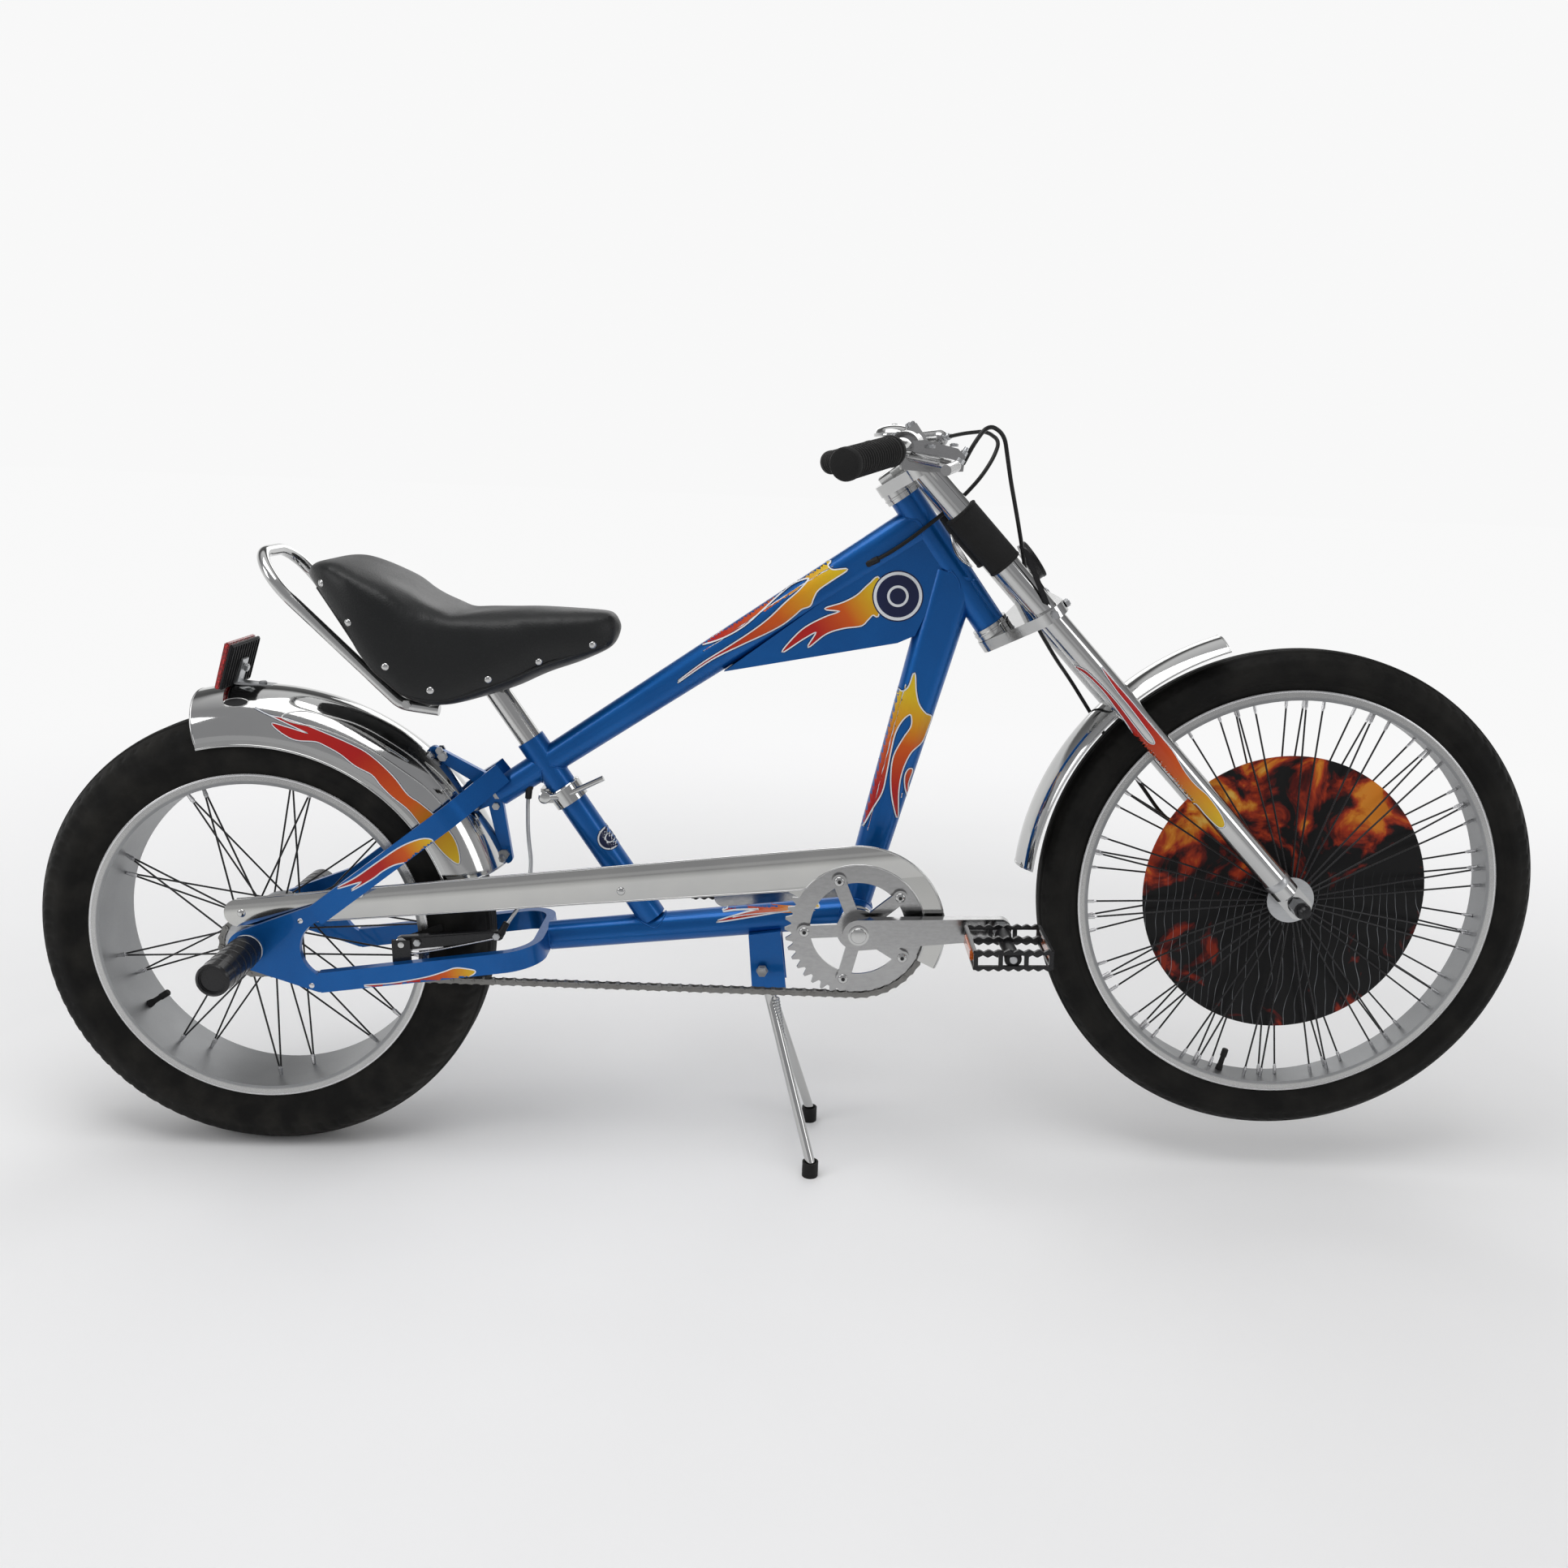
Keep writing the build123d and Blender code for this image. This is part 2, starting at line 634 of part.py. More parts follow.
# Pegs: tubes screwed on the axle ends outside the dropouts
with BuildPart() as pegs:
    add(rod(at(0, 0, dropout_outer), at(0, 0, dropout_outer + peg_neck), peg_neck_radius))
    add(rod(at(0, 0, dropout_outer + peg_neck), at(0, 0, dropout_outer + peg_length), peg_radius))
    add(
        rod(at(0, 0, dropout_outer + 24), at(0, 0, dropout_outer + peg_length), peg_radius - peg_wall),
        mode=Mode.SUBTRACT,
    )
    add(rod(at(0, 0, dropout_outer), at(0, 0, dropout_outer + 24), rear_axle_radius), mode=Mode.SUBTRACT)
    mirror(about=Plane.XZ)
pegs.part.label = "pegs"
export_step(pegs.part, "parts/pegs.step")


def tyre(axle, radius, width, rim_radius, rim_width):
    """A tyre shell seated in its rim, its section in straight facets"""
    half = width / 2
    rise = radius - rim_radius
    bead = rim_width / 2 - rim_wall - running_gap
    outer = [
        (rim_radius - bead_depth, bead),
        (rim_radius + 0.06 * rise, bead),
        (rim_radius + 0.42 * rise, half),
        (rim_radius + 0.78 * rise, 0.84 * half),
        (radius, 0.34 * half),
    ]
    inner = [
        (rim_radius + 0.80 * rise, 0.55 * half),
        (rim_radius + 0.42 * rise, half - tyre_wall),
        (rim_radius - bead_depth, bead - tyre_wall),
    ]
    ring = outer + [(r, -y) for r, y in reversed(outer)] + [(r, -y) for r, y in reversed(inner)] + inner
    with BuildPart() as piece:
        with BuildSketch(wheel_plane(axle)):
            Polygon(*ring, align=None)
        revolve(axis=Axis(at(*axle), (0, 1, 0)))
    return piece.part


def rim(axle, rim_radius, rim_width):
    """A channel rim: two side walls and the bed that joins them"""
    half = rim_width / 2
    low = rim_radius - rim_depth
    ring = [
        (low, -half),
        (rim_radius, -half),
        (rim_radius, -half + rim_wall),
        (low + rim_wall, -half + rim_wall),
        (low + rim_wall, half - rim_wall),
        (rim_radius, half - rim_wall),
        (rim_radius, half),
        (low, half),
    ]
    with BuildPart() as piece:
        with BuildSketch(wheel_plane(axle)):
            Polygon(*ring, align=None)
        revolve(axis=Axis(at(*axle), (0, 1, 0)))
    return piece.part


def hub(axle, barrel, flange, offset, half_width, nut_radius, bore):
    """A hub: barrel, two flanges and the bearing ends, bored for the axle"""
    half_flange = flange_thickness / 2
    section = [
        (bore, -half_width),
        (nut_radius, -half_width),
        (nut_radius, -offset - half_flange),
        (flange, -offset - half_flange),
        (flange, -offset + half_flange),
        (barrel, -offset + half_flange + 4),
        (barrel, offset - half_flange - 4),
        (flange, offset - half_flange),
        (flange, offset + half_flange),
        (nut_radius, offset + half_flange),
        (nut_radius, half_width),
        (bore, half_width),
    ]
    with BuildPart() as piece:
        with BuildSketch(wheel_plane(axle)):
            Polygon(*section, align=None)
        revolve(axis=Axis(at(*axle), (0, 1, 0)))
    return piece.part


def spokes(axle, count, flange, offset, rim_bed, rim_offset, lean):
    """Spokes from both flanges to the rim, leaning by an angle at the rim"""
    with BuildPart() as piece:
        for index in range(count):
            angle = 360.0 * index / count
            hand = 1 if index % 2 else -1
            sweep_angle = lean if index % 4 < 2 else -lean
            start = polar(flange, angle, axle)
            end = polar(rim_bed, angle + sweep_angle, axle)
            add(rod(at(*start, hand * offset), at(*end, hand * rim_offset), spoke_radius))
    return piece.part


rear_hub_half = dropout_inner - running_gap
with BuildPart() as rear_tyre:
    add(tyre((0, 0), rear_tyre_radius, rear_tyre_width, rear_rim_radius, rear_rim_width))
rear_tyre.part.label = "rear_tyre"
export_step(rear_tyre.part, "parts/rear_tyre.step")

with BuildPart() as rear_rim:
    add(rim((0, 0), rear_rim_radius, rear_rim_width))
rear_rim.part.label = "rear_rim"
export_step(rear_rim.part, "parts/rear_rim.step")

with BuildPart() as rear_hub:
    add(
        hub(
            (0, 0),
            rear_hub_radius,
            rear_flange_radius,
            rear_flange_offset,
            rear_hub_half,
            12.0,
            rear_axle_radius + bearing_gap,
        )
    )
rear_hub.part.label = "rear_hub"
export_step(rear_hub.part, "parts/rear_hub.step")

with BuildPart() as rear_spokes:
    add(
        spokes(
            (0, 0),
            rear_spoke_count,
            rear_flange_radius + spoke_seat,
            rear_flange_offset,
            rear_rim_radius - rim_depth - running_gap,
            12.0,
            30.0,
        )
    )
    add(rear_hub.part, mode=Mode.SUBTRACT)
rear_spokes.part.label = "rear_spokes"
export_step(rear_spokes.part, "parts/rear_spokes.step")

front_hub_half = fork_dropout_inner - running_gap
with BuildPart() as front_tyre:
    add(tyre(front_axle, front_tyre_radius, front_tyre_width, front_rim_radius, front_rim_width))
front_tyre.part.label = "front_tyre"
export_step(front_tyre.part, "parts/front_tyre.step")

with BuildPart() as front_rim:
    add(rim(front_axle, front_rim_radius, front_rim_width))
front_rim.part.label = "front_rim"
export_step(front_rim.part, "parts/front_rim.step")

with BuildPart() as front_hub:
    add(
        hub(
            front_axle,
            front_hub_radius,
            front_flange_radius,
            front_flange_offset,
            front_hub_half,
            9.0,
            front_axle_radius + bearing_gap,
        )
    )
    drum_end = brake_plate_inner - running_gap
    add(rod(at(*front_axle, brake_drum_start), at(*front_axle, drum_end), brake_drum_radius))
    add(
        rod(at(*front_axle, brake_drum_start), at(*front_axle, drum_end), front_axle_radius + bearing_gap),
        mode=Mode.SUBTRACT,
    )
    add(rod(at(*front_axle, drum_end), at(*front_axle, fork_dropout_inner), 12), mode=Mode.SUBTRACT)
front_hub.part.label = "front_hub"
export_step(front_hub.part, "parts/front_hub.step")

with BuildPart() as front_spokes:
    add(
        spokes(
            front_axle,
            front_spoke_count,
            front_flange_radius + spoke_seat,
            front_flange_offset,
            front_rim_radius - rim_depth - running_gap,
            4.0,
            2.5,
        )
    )
    add(front_hub.part, mode=Mode.SUBTRACT)
front_spokes.part.label = "front_spokes"
export_step(front_spokes.part, "parts/front_spokes.step")

# Card disc between the front wheel's spokes
with BuildPart() as wheel_card:
    with BuildSketch(side(-card_offset, front_axle)):
        Circle(card_radius)
        Circle(front_hub_radius + running_gap, mode=Mode.SUBTRACT)
    extrude(amount=card_thickness)
wheel_card.part.label = "wheel_card"
export_step(wheel_card.part, "parts/wheel_card.step")

# Chain loop: two plate loops joined by rollers along the straight runs
ring_pitch = chain_pitch / 2 / sin(pi / ring_teeth)
cog_pitch = chain_pitch / 2 / sin(pi / cog_teeth)
drive_span = hypot(*bottom_bracket)
drive_tilt = atan2(bottom_bracket[1], bottom_bracket[0])
tangent_turn = acos((cog_pitch - ring_pitch) / drive_span)


def chain_outline(y, grow):
    """The outline of the chain's pitch line grown by a distance"""
    with BuildSketch(side(y)) as outline:
        Circle(cog_pitch + grow)
        with Locations(bottom_bracket):
            Circle(ring_pitch + grow)
        make_hull()
    return outline.sketch


with BuildPart() as chain:
    for plate_start in (chain_line - chain_width / 2, chain_line + chain_width / 2 - link_plate):
        extrude(chain_outline(-plate_start, chain_height / 2), amount=link_plate)
        extrude(chain_outline(-plate_start, -chain_height / 2), amount=link_plate, mode=Mode.SUBTRACT)
    run_length = drive_span * sin(tangent_turn)
    for hand in (1, -1):
        normal = drive_tilt + hand * tangent_turn
        start = (cog_pitch * cos(normal), cog_pitch * sin(normal))
        along = (sin(normal) * hand, -cos(normal) * hand)
        for index in range(1, int(run_length / chain_pitch)):
            x = start[0] + along[0] * index * chain_pitch
            z = start[1] + along[1] * index * chain_pitch
            from_cog = hypot(x, z) - cog_pitch - tooth_rise
            from_ring = hypot(x - bottom_bracket[0], z - bottom_bracket[1]) - ring_pitch - tooth_rise
            if min(from_cog, from_ring) > roller_radius + 1:
                add(
                    rod(
                        at(x, z, -chain_line - chain_width / 2 + link_plate / 2),
                        at(x, z, -chain_line + chain_width / 2 - link_plate / 2),
                        roller_radius,
                    )
                )
chain.part.label = "chain"
export_step(chain.part, "parts/chain.step")


def toothed_disc(centre, teeth, pitch_radius):
    """The outline of a sprocket with straight-sided teeth"""
    step = 360.0 / teeth
    points = []
    for index in range(teeth):
        middle = index * step
        for radius, share in (
            (pitch_radius - tooth_fall, -0.38),
            (pitch_radius + tooth_rise, -0.10),
            (pitch_radius + tooth_rise, 0.10),
            (pitch_radius - tooth_fall, 0.38),
        ):
            points.append(polar(radius, middle + share * step, centre))
    return points


sprocket_inner = chain_line - sprocket_thickness / 2
with BuildPart() as rear_cog:
    with BuildSketch(side(-sprocket_inner)):
        Polygon(*toothed_disc((0, 0), cog_teeth, cog_pitch), align=None)
        Circle(12.0 + running_gap, mode=Mode.SUBTRACT)
    extrude(amount=sprocket_thickness)
    with BuildSketch(side(-sprocket_inner + 10)):
        Circle(24)
        Circle(12.0 + running_gap, mode=Mode.SUBTRACT)
    extrude(amount=10)
rear_cog.part.label = "rear_cog"
export_step(rear_cog.part, "parts/rear_cog.step")

# Chainring and its five bolts
with BuildPart() as chainring:
    with BuildSketch(side(-sprocket_inner)):
        Polygon(*toothed_disc(bottom_bracket, ring_teeth, ring_pitch), align=None)
        with Locations(bottom_bracket):
            Circle(ring_bore, mode=Mode.SUBTRACT)
    extrude(amount=sprocket_thickness)
chainring.part.label = "chainring"
export_step(chainring.part, "parts/chainring.step")

# Right crank with its five-arm spider; the left crank has none
spider_inner = chain_line + sprocket_thickness / 2
right_pedal = polar(crank_length, crank_angle, bottom_bracket)
left_pedal = polar(crank_length, crank_angle + 180, bottom_bracket)
with BuildPart() as crank_right:
    with BuildSketch(side(-spider_inner)):
        with Locations(bottom_bracket):
            Circle(26)
            with PolarLocations(ring_bolt_circle / 4, 5, start_angle=crank_angle + 36):
                Rectangle(ring_bolt_circle / 2, 16)
            with PolarLocations(ring_bolt_circle / 2, 5, start_angle=crank_angle + 36):
                Circle(9)
    extrude(amount=spider_thickness)
    add(rod(at(*bottom_bracket, -spider_inner), at(*bottom_bracket, -crank_inner), crank_boss_radius))
    with BuildSketch(side(-crank_inner)):
        with Locations(bottom_bracket):
            Circle(crank_boss_radius)
        with Locations(right_pedal):
            Circle(crank_eye_radius)
        make_hull()
    extrude(amount=crank_thickness)
    add(rod(at(*bottom_bracket, 0), at(*bottom_bracket, -crank_inner - 4), spindle_radius), mode=Mode.SUBTRACT)
crank_right.part.label = "crank_right"
export_step(crank_right.part, "parts/crank_right.step")

with BuildPart() as crank_left:
    with BuildSketch(side(crank_inner + crank_thickness)):
        with Locations(bottom_bracket):
            Circle(crank_boss_radius)
        with Locations(left_pedal):
            Circle(crank_eye_radius)
        make_hull()
    extrude(amount=crank_thickness)
    add(rod(at(*bottom_bracket, 66), at(*bottom_bracket, crank_inner), crank_boss_radius))
    add(rod(at(*bottom_bracket, 0), at(*bottom_bracket, crank_inner + 4), spindle_radius), mode=Mode.SUBTRACT)
crank_left.part.label = "crank_left"
export_step(crank_left.part, "parts/crank_left.step")

with BuildPart() as crank_spindle:
    add(rod(at(*bottom_bracket, -crank_inner - 4), at(*bottom_bracket, crank_inner + 4), spindle_radius))
crank_spindle.part.label = "crank_spindle"
export_step(crank_spindle.part, "parts/crank_spindle.step")


def pedal(centre, hand):
    """A cage pedal: end plates, cross rails and the barrel on its pin"""
    inner = hand * pedal_start
    outer = hand * (pedal_start + pedal_width)
    crank_face = hand * (crank_inner + crank_thickness)
    low_y = min(inner, outer)
    with BuildPart() as piece:
        with BuildSketch(side(low_y + pedal_width, centre)):
            RectangleRounded(pedal_length, pedal_height, 6)
        extrude(amount=pedal_width)
        for shift in (-1, 1):
            window = pedal_length / 2 - 9 - pedal_rail
            middle = shift * (9 + window / 2)
            for row in (-1, 1):
                depth = pedal_width / 2 - 1.5 * pedal_rail
                y = (inner + outer) / 2 + row * (depth / 2 + pedal_rail / 2)
                box_plane = Plane(origin=at(centre[0], centre[1], y), x_dir=level, z_dir=upward)
                with BuildSketch(box_plane):
                    with Locations((middle, 0)):
                        Rectangle(window, depth)
                extrude(amount=pedal_height, both=True, mode=Mode.SUBTRACT)
        add(rod(at(*centre, crank_face), at(*centre, outer), pedal_pin_radius))
    return piece.part


with BuildPart() as pedal_right:
    add(pedal(right_pedal, -1))
pedal_right.part.label = "pedal_right"
export_step(pedal_right.part, "parts/pedal_right.step")

with BuildPart() as pedal_left:
    add(pedal(left_pedal, 1))
pedal_left.part.label = "pedal_left"
export_step(pedal_left.part, "parts/pedal_left.step")

# Chain guard: a band over the upper run with a sickle round the chainring
with BuildPart() as chain_guard:
    guard_low = polar(guard_outer_radius, 150, bottom_bracket)
    with BuildSketch(side(-guard_inner)):
        with Locations(bottom_bracket):
            Circle(guard_outer_radius)
        wedge = [bottom_bracket] + [polar(2 * guard_outer_radius, a, bottom_bracket) for a in (150, 215, 275, 332)]
        Polygon(*wedge, align=None, mode=Mode.SUBTRACT)
        with BuildLine():
            Line((guard_rear[0], guard_rear[1] - guard_height / 2), (653, 71))
            Line((653, 71), (733, 60))
            Line((733, 60), (733, bottom_bracket[1] + guard_outer_radius))
            Line((733, bottom_bracket[1] + guard_outer_radius), (guard_rear[0], guard_rear[1] + guard_height / 2))
            Line((guard_rear[0], guard_rear[1] + guard_height / 2), (guard_rear[0], guard_rear[1] - guard_height / 2))
        make_face()
        with Locations(guard_rear):
            Circle(guard_height / 2)
        with Locations(bottom_bracket):
            Circle(guard_window_radius, mode=Mode.SUBTRACT)
    extrude(amount=guard_sheet)
    add(rod(at(135, 66, -guard_inner), at(135, 66, -stay_inner), 6))
    strap_plane = Plane(origin=at(448, 71), x_dir=level, z_dir=upward)
    with BuildSketch(strap_plane):
        with Locations((0, -guard_inner / 2 - 4)):
            Rectangle(14, guard_inner - 8)
    extrude(amount=2.5)
    add(seat_tube_solid, mode=Mode.SUBTRACT)
chain_guard.part.label = "chain_guard"
export_step(chain_guard.part, "parts/chain_guard.step")

# Rear brake: two arms pivoted on the chain stays, with shoes at the rim
brake_pivot = (181.0, 2.0)
brake_tip = (298.0, 12.0)
shoe_reach = rear_rim_width / 2 + 2.0
with BuildPart() as rear_brake:
    with BuildSketch(side(-60.0)):
        with Locations(brake_pivot):
            Circle(9)
        with Locations(brake_tip):
            Circle(6)
        make_hull()
    extrude(amount=7)
    add(rod(at(*brake_pivot, -60), at(*brake_pivot, -stay_inner + 1), 6))
    with BuildSketch(side(-stay_inner + 4)):
        with Locations(((brake_pivot[0]), brake_pivot[1] - 16)):
            Rectangle(22, 44)
    extrude(amount=4)
    add(rod(at(200, 4, -62), at(200, 4, -shoe_reach), 4.5))
    mirror(about=Plane.XZ)
rear_brake.part.label = "rear_brake"
export_step(rear_brake.part, "parts/rear_brake.step")

# Fork legs with their dropouts
with BuildPart() as fork_legs:
    add(rod(leg_point(leg_end, -leg_spacing), leg_point(leg_top, -leg_spacing), leg_radius))
    add(
        rod(leg_point(leg_end + 60, -leg_spacing), leg_point(leg_top - 4, -leg_spacing), leg_radius - leg_wall),
        mode=Mode.SUBTRACT,
    )
    with BuildSketch(side(-fork_dropout_inner)):
        with Locations(front_axle):
            Circle(fork_dropout_radius)
        leg_foot = (front_axle[0] + leg_slope[0] * 50, front_axle[1] + leg_slope[1] * 50)
        with Locations(leg_foot):
            Circle(leg_radius - 1)
        make_hull()
    extrude(amount=fork_dropout_thickness)
    add(
        rod(at(*front_axle, 0), at(*front_axle, -leg_spacing - leg_radius - 9), front_axle_radius),
        mode=Mode.SUBTRACT,
    )
    mirror(about=Plane.XZ)
fork_legs.part.label = "fork_legs"
export_step(fork_legs.part, "parts/fork_legs.step")

# Black rubber sleeves on the legs between the clamps
with BuildPart() as leg_sleeves:
    add(rod(leg_point(sleeve_low, -leg_spacing), leg_point(sleeve_high, -leg_spacing), sleeve_radius))
    add(
        rod(leg_point(sleeve_low, -leg_spacing), leg_point(sleeve_high, -leg_spacing), leg_radius),
        mode=Mode.SUBTRACT,
    )
    mirror(about=Plane.XZ)
leg_sleeves.part.label = "leg_sleeves"
export_step(leg_sleeves.part, "parts/leg_sleeves.step")


def leg_holes():
    """Both legs as solid bars, to cut the clamps"""
    with BuildPart() as piece:
        add(rod(leg_point(leg_end, -leg_spacing), leg_point(leg_top + 9, -leg_spacing), leg_radius))
        mirror(about=Plane.XZ)
    return piece.part


def leg_offset(s):
    """How far ahead of the steering axis the legs pass at s"""
    low_s, low_n = steer_place(*front_axle)
    t = (low_s - s) / (leg_slope[1] * -axis_z - leg_slope[0] * axis_x)
    return low_n + t * (leg_slope[1] * axis_x - leg_slope[0] * axis_z)


# Clamps: plates across the steering axis that hold the legs
upper_level = -headset_height - running_gap
lower_level = head_length + headset_height + running_gap
with BuildPart() as upper_clamp:
    with BuildSketch(steer_plane(upper_level)):
        Circle(clamp_neck_radius)
        with Locations((leg_offset(upper_level - 7), -leg_spacing), (leg_offset(upper_level - 7), leg_spacing)):
            Circle(leg_radius + clamp_ring_wall)
        make_hull()
    extrude(amount=clamp_thickness)
    add(leg_holes(), mode=Mode.SUBTRACT)
    add(rod(steer(upper_level - 30), steer(0), steerer_radius), mode=Mode.SUBTRACT)
upper_clamp.part.label = "upper_clamp"
export_step(upper_clamp.part, "parts/upper_clamp.step")

with BuildPart() as lower_clamp:
    with BuildSketch(steer_plane(lower_level + clamp_thickness)):
        Circle(clamp_neck_radius)
        with Locations((leg_offset(lower_level + 7), -leg_spacing), (leg_offset(lower_level + 7), leg_spacing)):
            Circle(leg_radius + clamp_ring_wall)
        make_hull()
    extrude(amount=clamp_thickness)
    add(leg_holes(), mode=Mode.SUBTRACT)
    add(rod(steer(upper_level - clamp_thickness), steer(lower_level + clamp_thickness), steerer_radius))
    add(
        rod(steer(upper_level - clamp_thickness), steer(lower_level + clamp_thickness), steerer_radius - tube_wall),
        mode=Mode.SUBTRACT,
    )
    add(rod(at(*guide_hole[0]), at(*guide_hole[1]), guide_radius), mode=Mode.SUBTRACT)
lower_clamp.part.label = "lower_clamp"
export_step(lower_clamp.part, "parts/lower_clamp.step")

# Handlebar on its two risers
right_bar = [at(x, z, -y) for x, z, y in reversed(bar_points)]
left_bar = [at(x, z, y) for x, z, y in bar_points]
bar_solid = bar_along([*right_bar, *left_bar], bar_bend_radius, bar_radius)
with BuildPart() as handlebar:
    add(bar_solid)
    add(bar_along([*right_bar, *left_bar], bar_bend_radius, bar_radius - bar_wall), mode=Mode.SUBTRACT)
handlebar.part.label = "handlebar"
export_step(handlebar.part, "parts/handlebar.step")

bar_s, bar_n = steer_place(bar_points[0][0], bar_points[0][1])
with BuildPart() as risers:
    riser_height = -(bar_s - (upper_level - clamp_thickness))
    with BuildSketch(steer_plane(upper_level - clamp_thickness)):
        with Locations((bar_n, -24), (bar_n, 24)):
            Rectangle(30, 20)
    extrude(amount=riser_height + 16)
    add(bar_solid, mode=Mode.SUBTRACT)
risers.part.label = "risers"
export_step(risers.part, "parts/risers.step")

# Grips over the bar's ends
with BuildPart() as grips:
    bar_end = at(bar_points[2][0], bar_points[2][1], -bar_points[2][2])
    bar_run = (at(bar_points[1][0], bar_points[1][1], -bar_points[1][2]) - bar_end).normalized()
    add(rod(bar_end - bar_run * 6, bar_end + bar_run * grip_length, grip_radius))
    add(rod(bar_end, bar_end + bar_run * grip_length, bar_radius), mode=Mode.SUBTRACT)
    mirror(about=Plane.XZ)
grips.part.label = "grips"
export_step(grips.part, "parts/grips.step")


def lever_place(hand):
    """The clamp's place on the bar, and the bar's direction there, outwards"""
    inner_point = at(bar_points[0][0], bar_points[0][1], hand * bar_points[0][2])
    outer_point = at(bar_points[1][0], bar_points[1][1], hand * bar_points[1][2])
    outward = (outer_point - inner_point).normalized()
    return inner_point + outward * 84, outward


# Right brake lever: a perch with its clamp and the blade ahead of the bar
grip_spot, outward = lever_place(-1)
perch_outline = [(-2, 15), (22, 17), (58, 8), (66, 0), (64, -16), (30, -17), (-2, -14)]
with BuildPart() as brake_lever_right:
    add(rod(grip_spot - outward * 11, grip_spot + outward * 11, bar_radius + 5))
    with BuildSketch(side(grip_spot.Y + 9)):
        with Locations((772, 582)):
            Polygon(*perch_outline, align=None)
    extrude(amount=30)
    blade = [(778, 582, -150), (812, 575, -186), (822, 572, -215), (806, 568, -262)]
    add(bar_along([at(x, z, y) for x, z, y in blade], 22, 5.5))
    add(bar_solid, mode=Mode.SUBTRACT)
brake_lever_right.part.label = "brake_lever_right"
export_step(brake_lever_right.part, "parts/brake_lever_right.step")

# Left brake lever: a bullet-shaped body along the perch, and the blade
grip_spot, outward = lever_place(1)
bullet = [(778, 592, 150), (800, 600, 128), (836, 604, 104)]
with BuildPart() as brake_lever_left:
    add(rod(grip_spot - outward * 11, grip_spot + outward * 11, bar_radius + 5))
    add(bar_along([at(x, z, y) for x, z, y in bullet], 60, 11))
    with Locations(at(*bullet[-1])):
        Sphere(11)
    blade = [(800, 598, 130), (814, 594, 180), (812, 590, 215), (792, 586, 262)]
    add(bar_along([at(x, z, y) for x, z, y in blade], 40, 5.5))
    add(bar_solid, mode=Mode.SUBTRACT)
brake_lever_left.part.label = "brake_lever_left"
export_step(brake_lever_left.part, "parts/brake_lever_left.step")

# Bell: a shallow dome on a foot clamped to the bar
bell_foot = at(*bell_place)
with BuildPart() as bell:
    with BuildSketch(Plane(origin=bell_foot, x_dir=level, z_dir=(0, -1, 0))):
        Polygon((0, 0), (bell_radius, 0), (bell_radius, 3), (0.8 * bell_radius, 8), (0, 13), align=None)
    revolve(axis=Axis(bell_foot, upward))
    add(rod(bell_foot - upward * 14, bell_foot + upward, 5))
    add(bar_solid, mode=Mode.SUBTRACT)
bell.part.label = "bell"
export_step(bell.part, "parts/bell.step")


def cable(name, points):
    """A cable along its route, each arc as large as the runs beside it allow"""
    radii = []
    for before, corner, after in zip(points, points[1:], points[2:]):
        turn = radians((corner - before).get_angle(after - corner))
        shorter = min((corner - before).length, (after - corner).length)
        radii.append(min(400.0, 0.45 * shorter / tan(turn / 2)))
    print(name, "radii", [round(r, 1) for r in radii])
    return bar_along(points, radii, cable_radius)


# Front fender: a short bent sheet with a strap to the lower clamp
with BuildPart() as front_fender:
    fender_start = Vector(level) * cos(radians(front_fender_start)) + upward * sin(radians(front_fender_start))
    crown_low = front_fender_radius - 16
    inner_crown = front_fender_radius - fender_sheet
    inner_half = front_fender_half_width - fender_sheet
    with BuildSketch(
        Plane(origin=at(*front_axle), x_dir=fender_start, z_dir=fender_start.cross(Vector(0, 1, 0)))
    ):
        with BuildLine():
            ThreePointArc(
                (crown_low, -front_fender_half_width),
                (front_fender_radius, 0),
                (crown_low, front_fender_half_width),
            )
            Line((crown_low, front_fender_half_width), (crown_low, inner_half))
            ThreePointArc((crown_low, inner_half), (inner_crown, 0), (crown_low, -inner_half))
            Line((crown_low, -inner_half), (crown_low, -front_fender_half_width))
        make_face()
    revolve(axis=Axis(at(*front_axle), (0, -1, 0)), revolution_arc=front_fender_end - front_fender_start)
    strap_end = polar(front_fender_radius, 132, front_axle)
    strap_top = (945.0, 394.0)
    with BuildSketch(side(10)):
        Polygon(
            (strap_end[0], strap_end[1] - 4),
            (strap_end[0] + 5, strap_end[1] + 1),
            (strap_top[0] + 4, strap_top[1] + 2),
            (strap_top[0], strap_top[1] - 3),
            align=None,
        )
    extrude(amount=20)
    add(lower_clamp.part, mode=Mode.SUBTRACT)
front_fender.part.label = "front_fender"
export_step(front_fender.part, "parts/front_fender.step")

# Front hub brake: the fixed plate inside the left dropout, with the arm that the cable pulls
plate_outer = brake_plate_inner + brake_plate_thickness
with BuildPart() as front_brake:
    add(rod(at(*front_axle, brake_plate_inner), at(*front_axle, plate_outer), brake_plate_radius))
    add(rod(at(*front_axle, plate_outer), at(*front_axle, fork_dropout_inner), 13))
    with BuildSketch(side(plate_outer, (0, 0))):
        with Locations((front_axle[0] - 22, front_axle[1] + 20)):
            Circle(8)
        with Locations(brake_arm_end):
            Circle(6)
        make_hull()
    extrude(amount=4)
    add(rod(at(*front_axle, 0), at(*front_axle, 70), front_axle_radius), mode=Mode.SUBTRACT)
front_brake.part.label = "front_brake"
export_step(front_brake.part, "parts/front_brake.step")

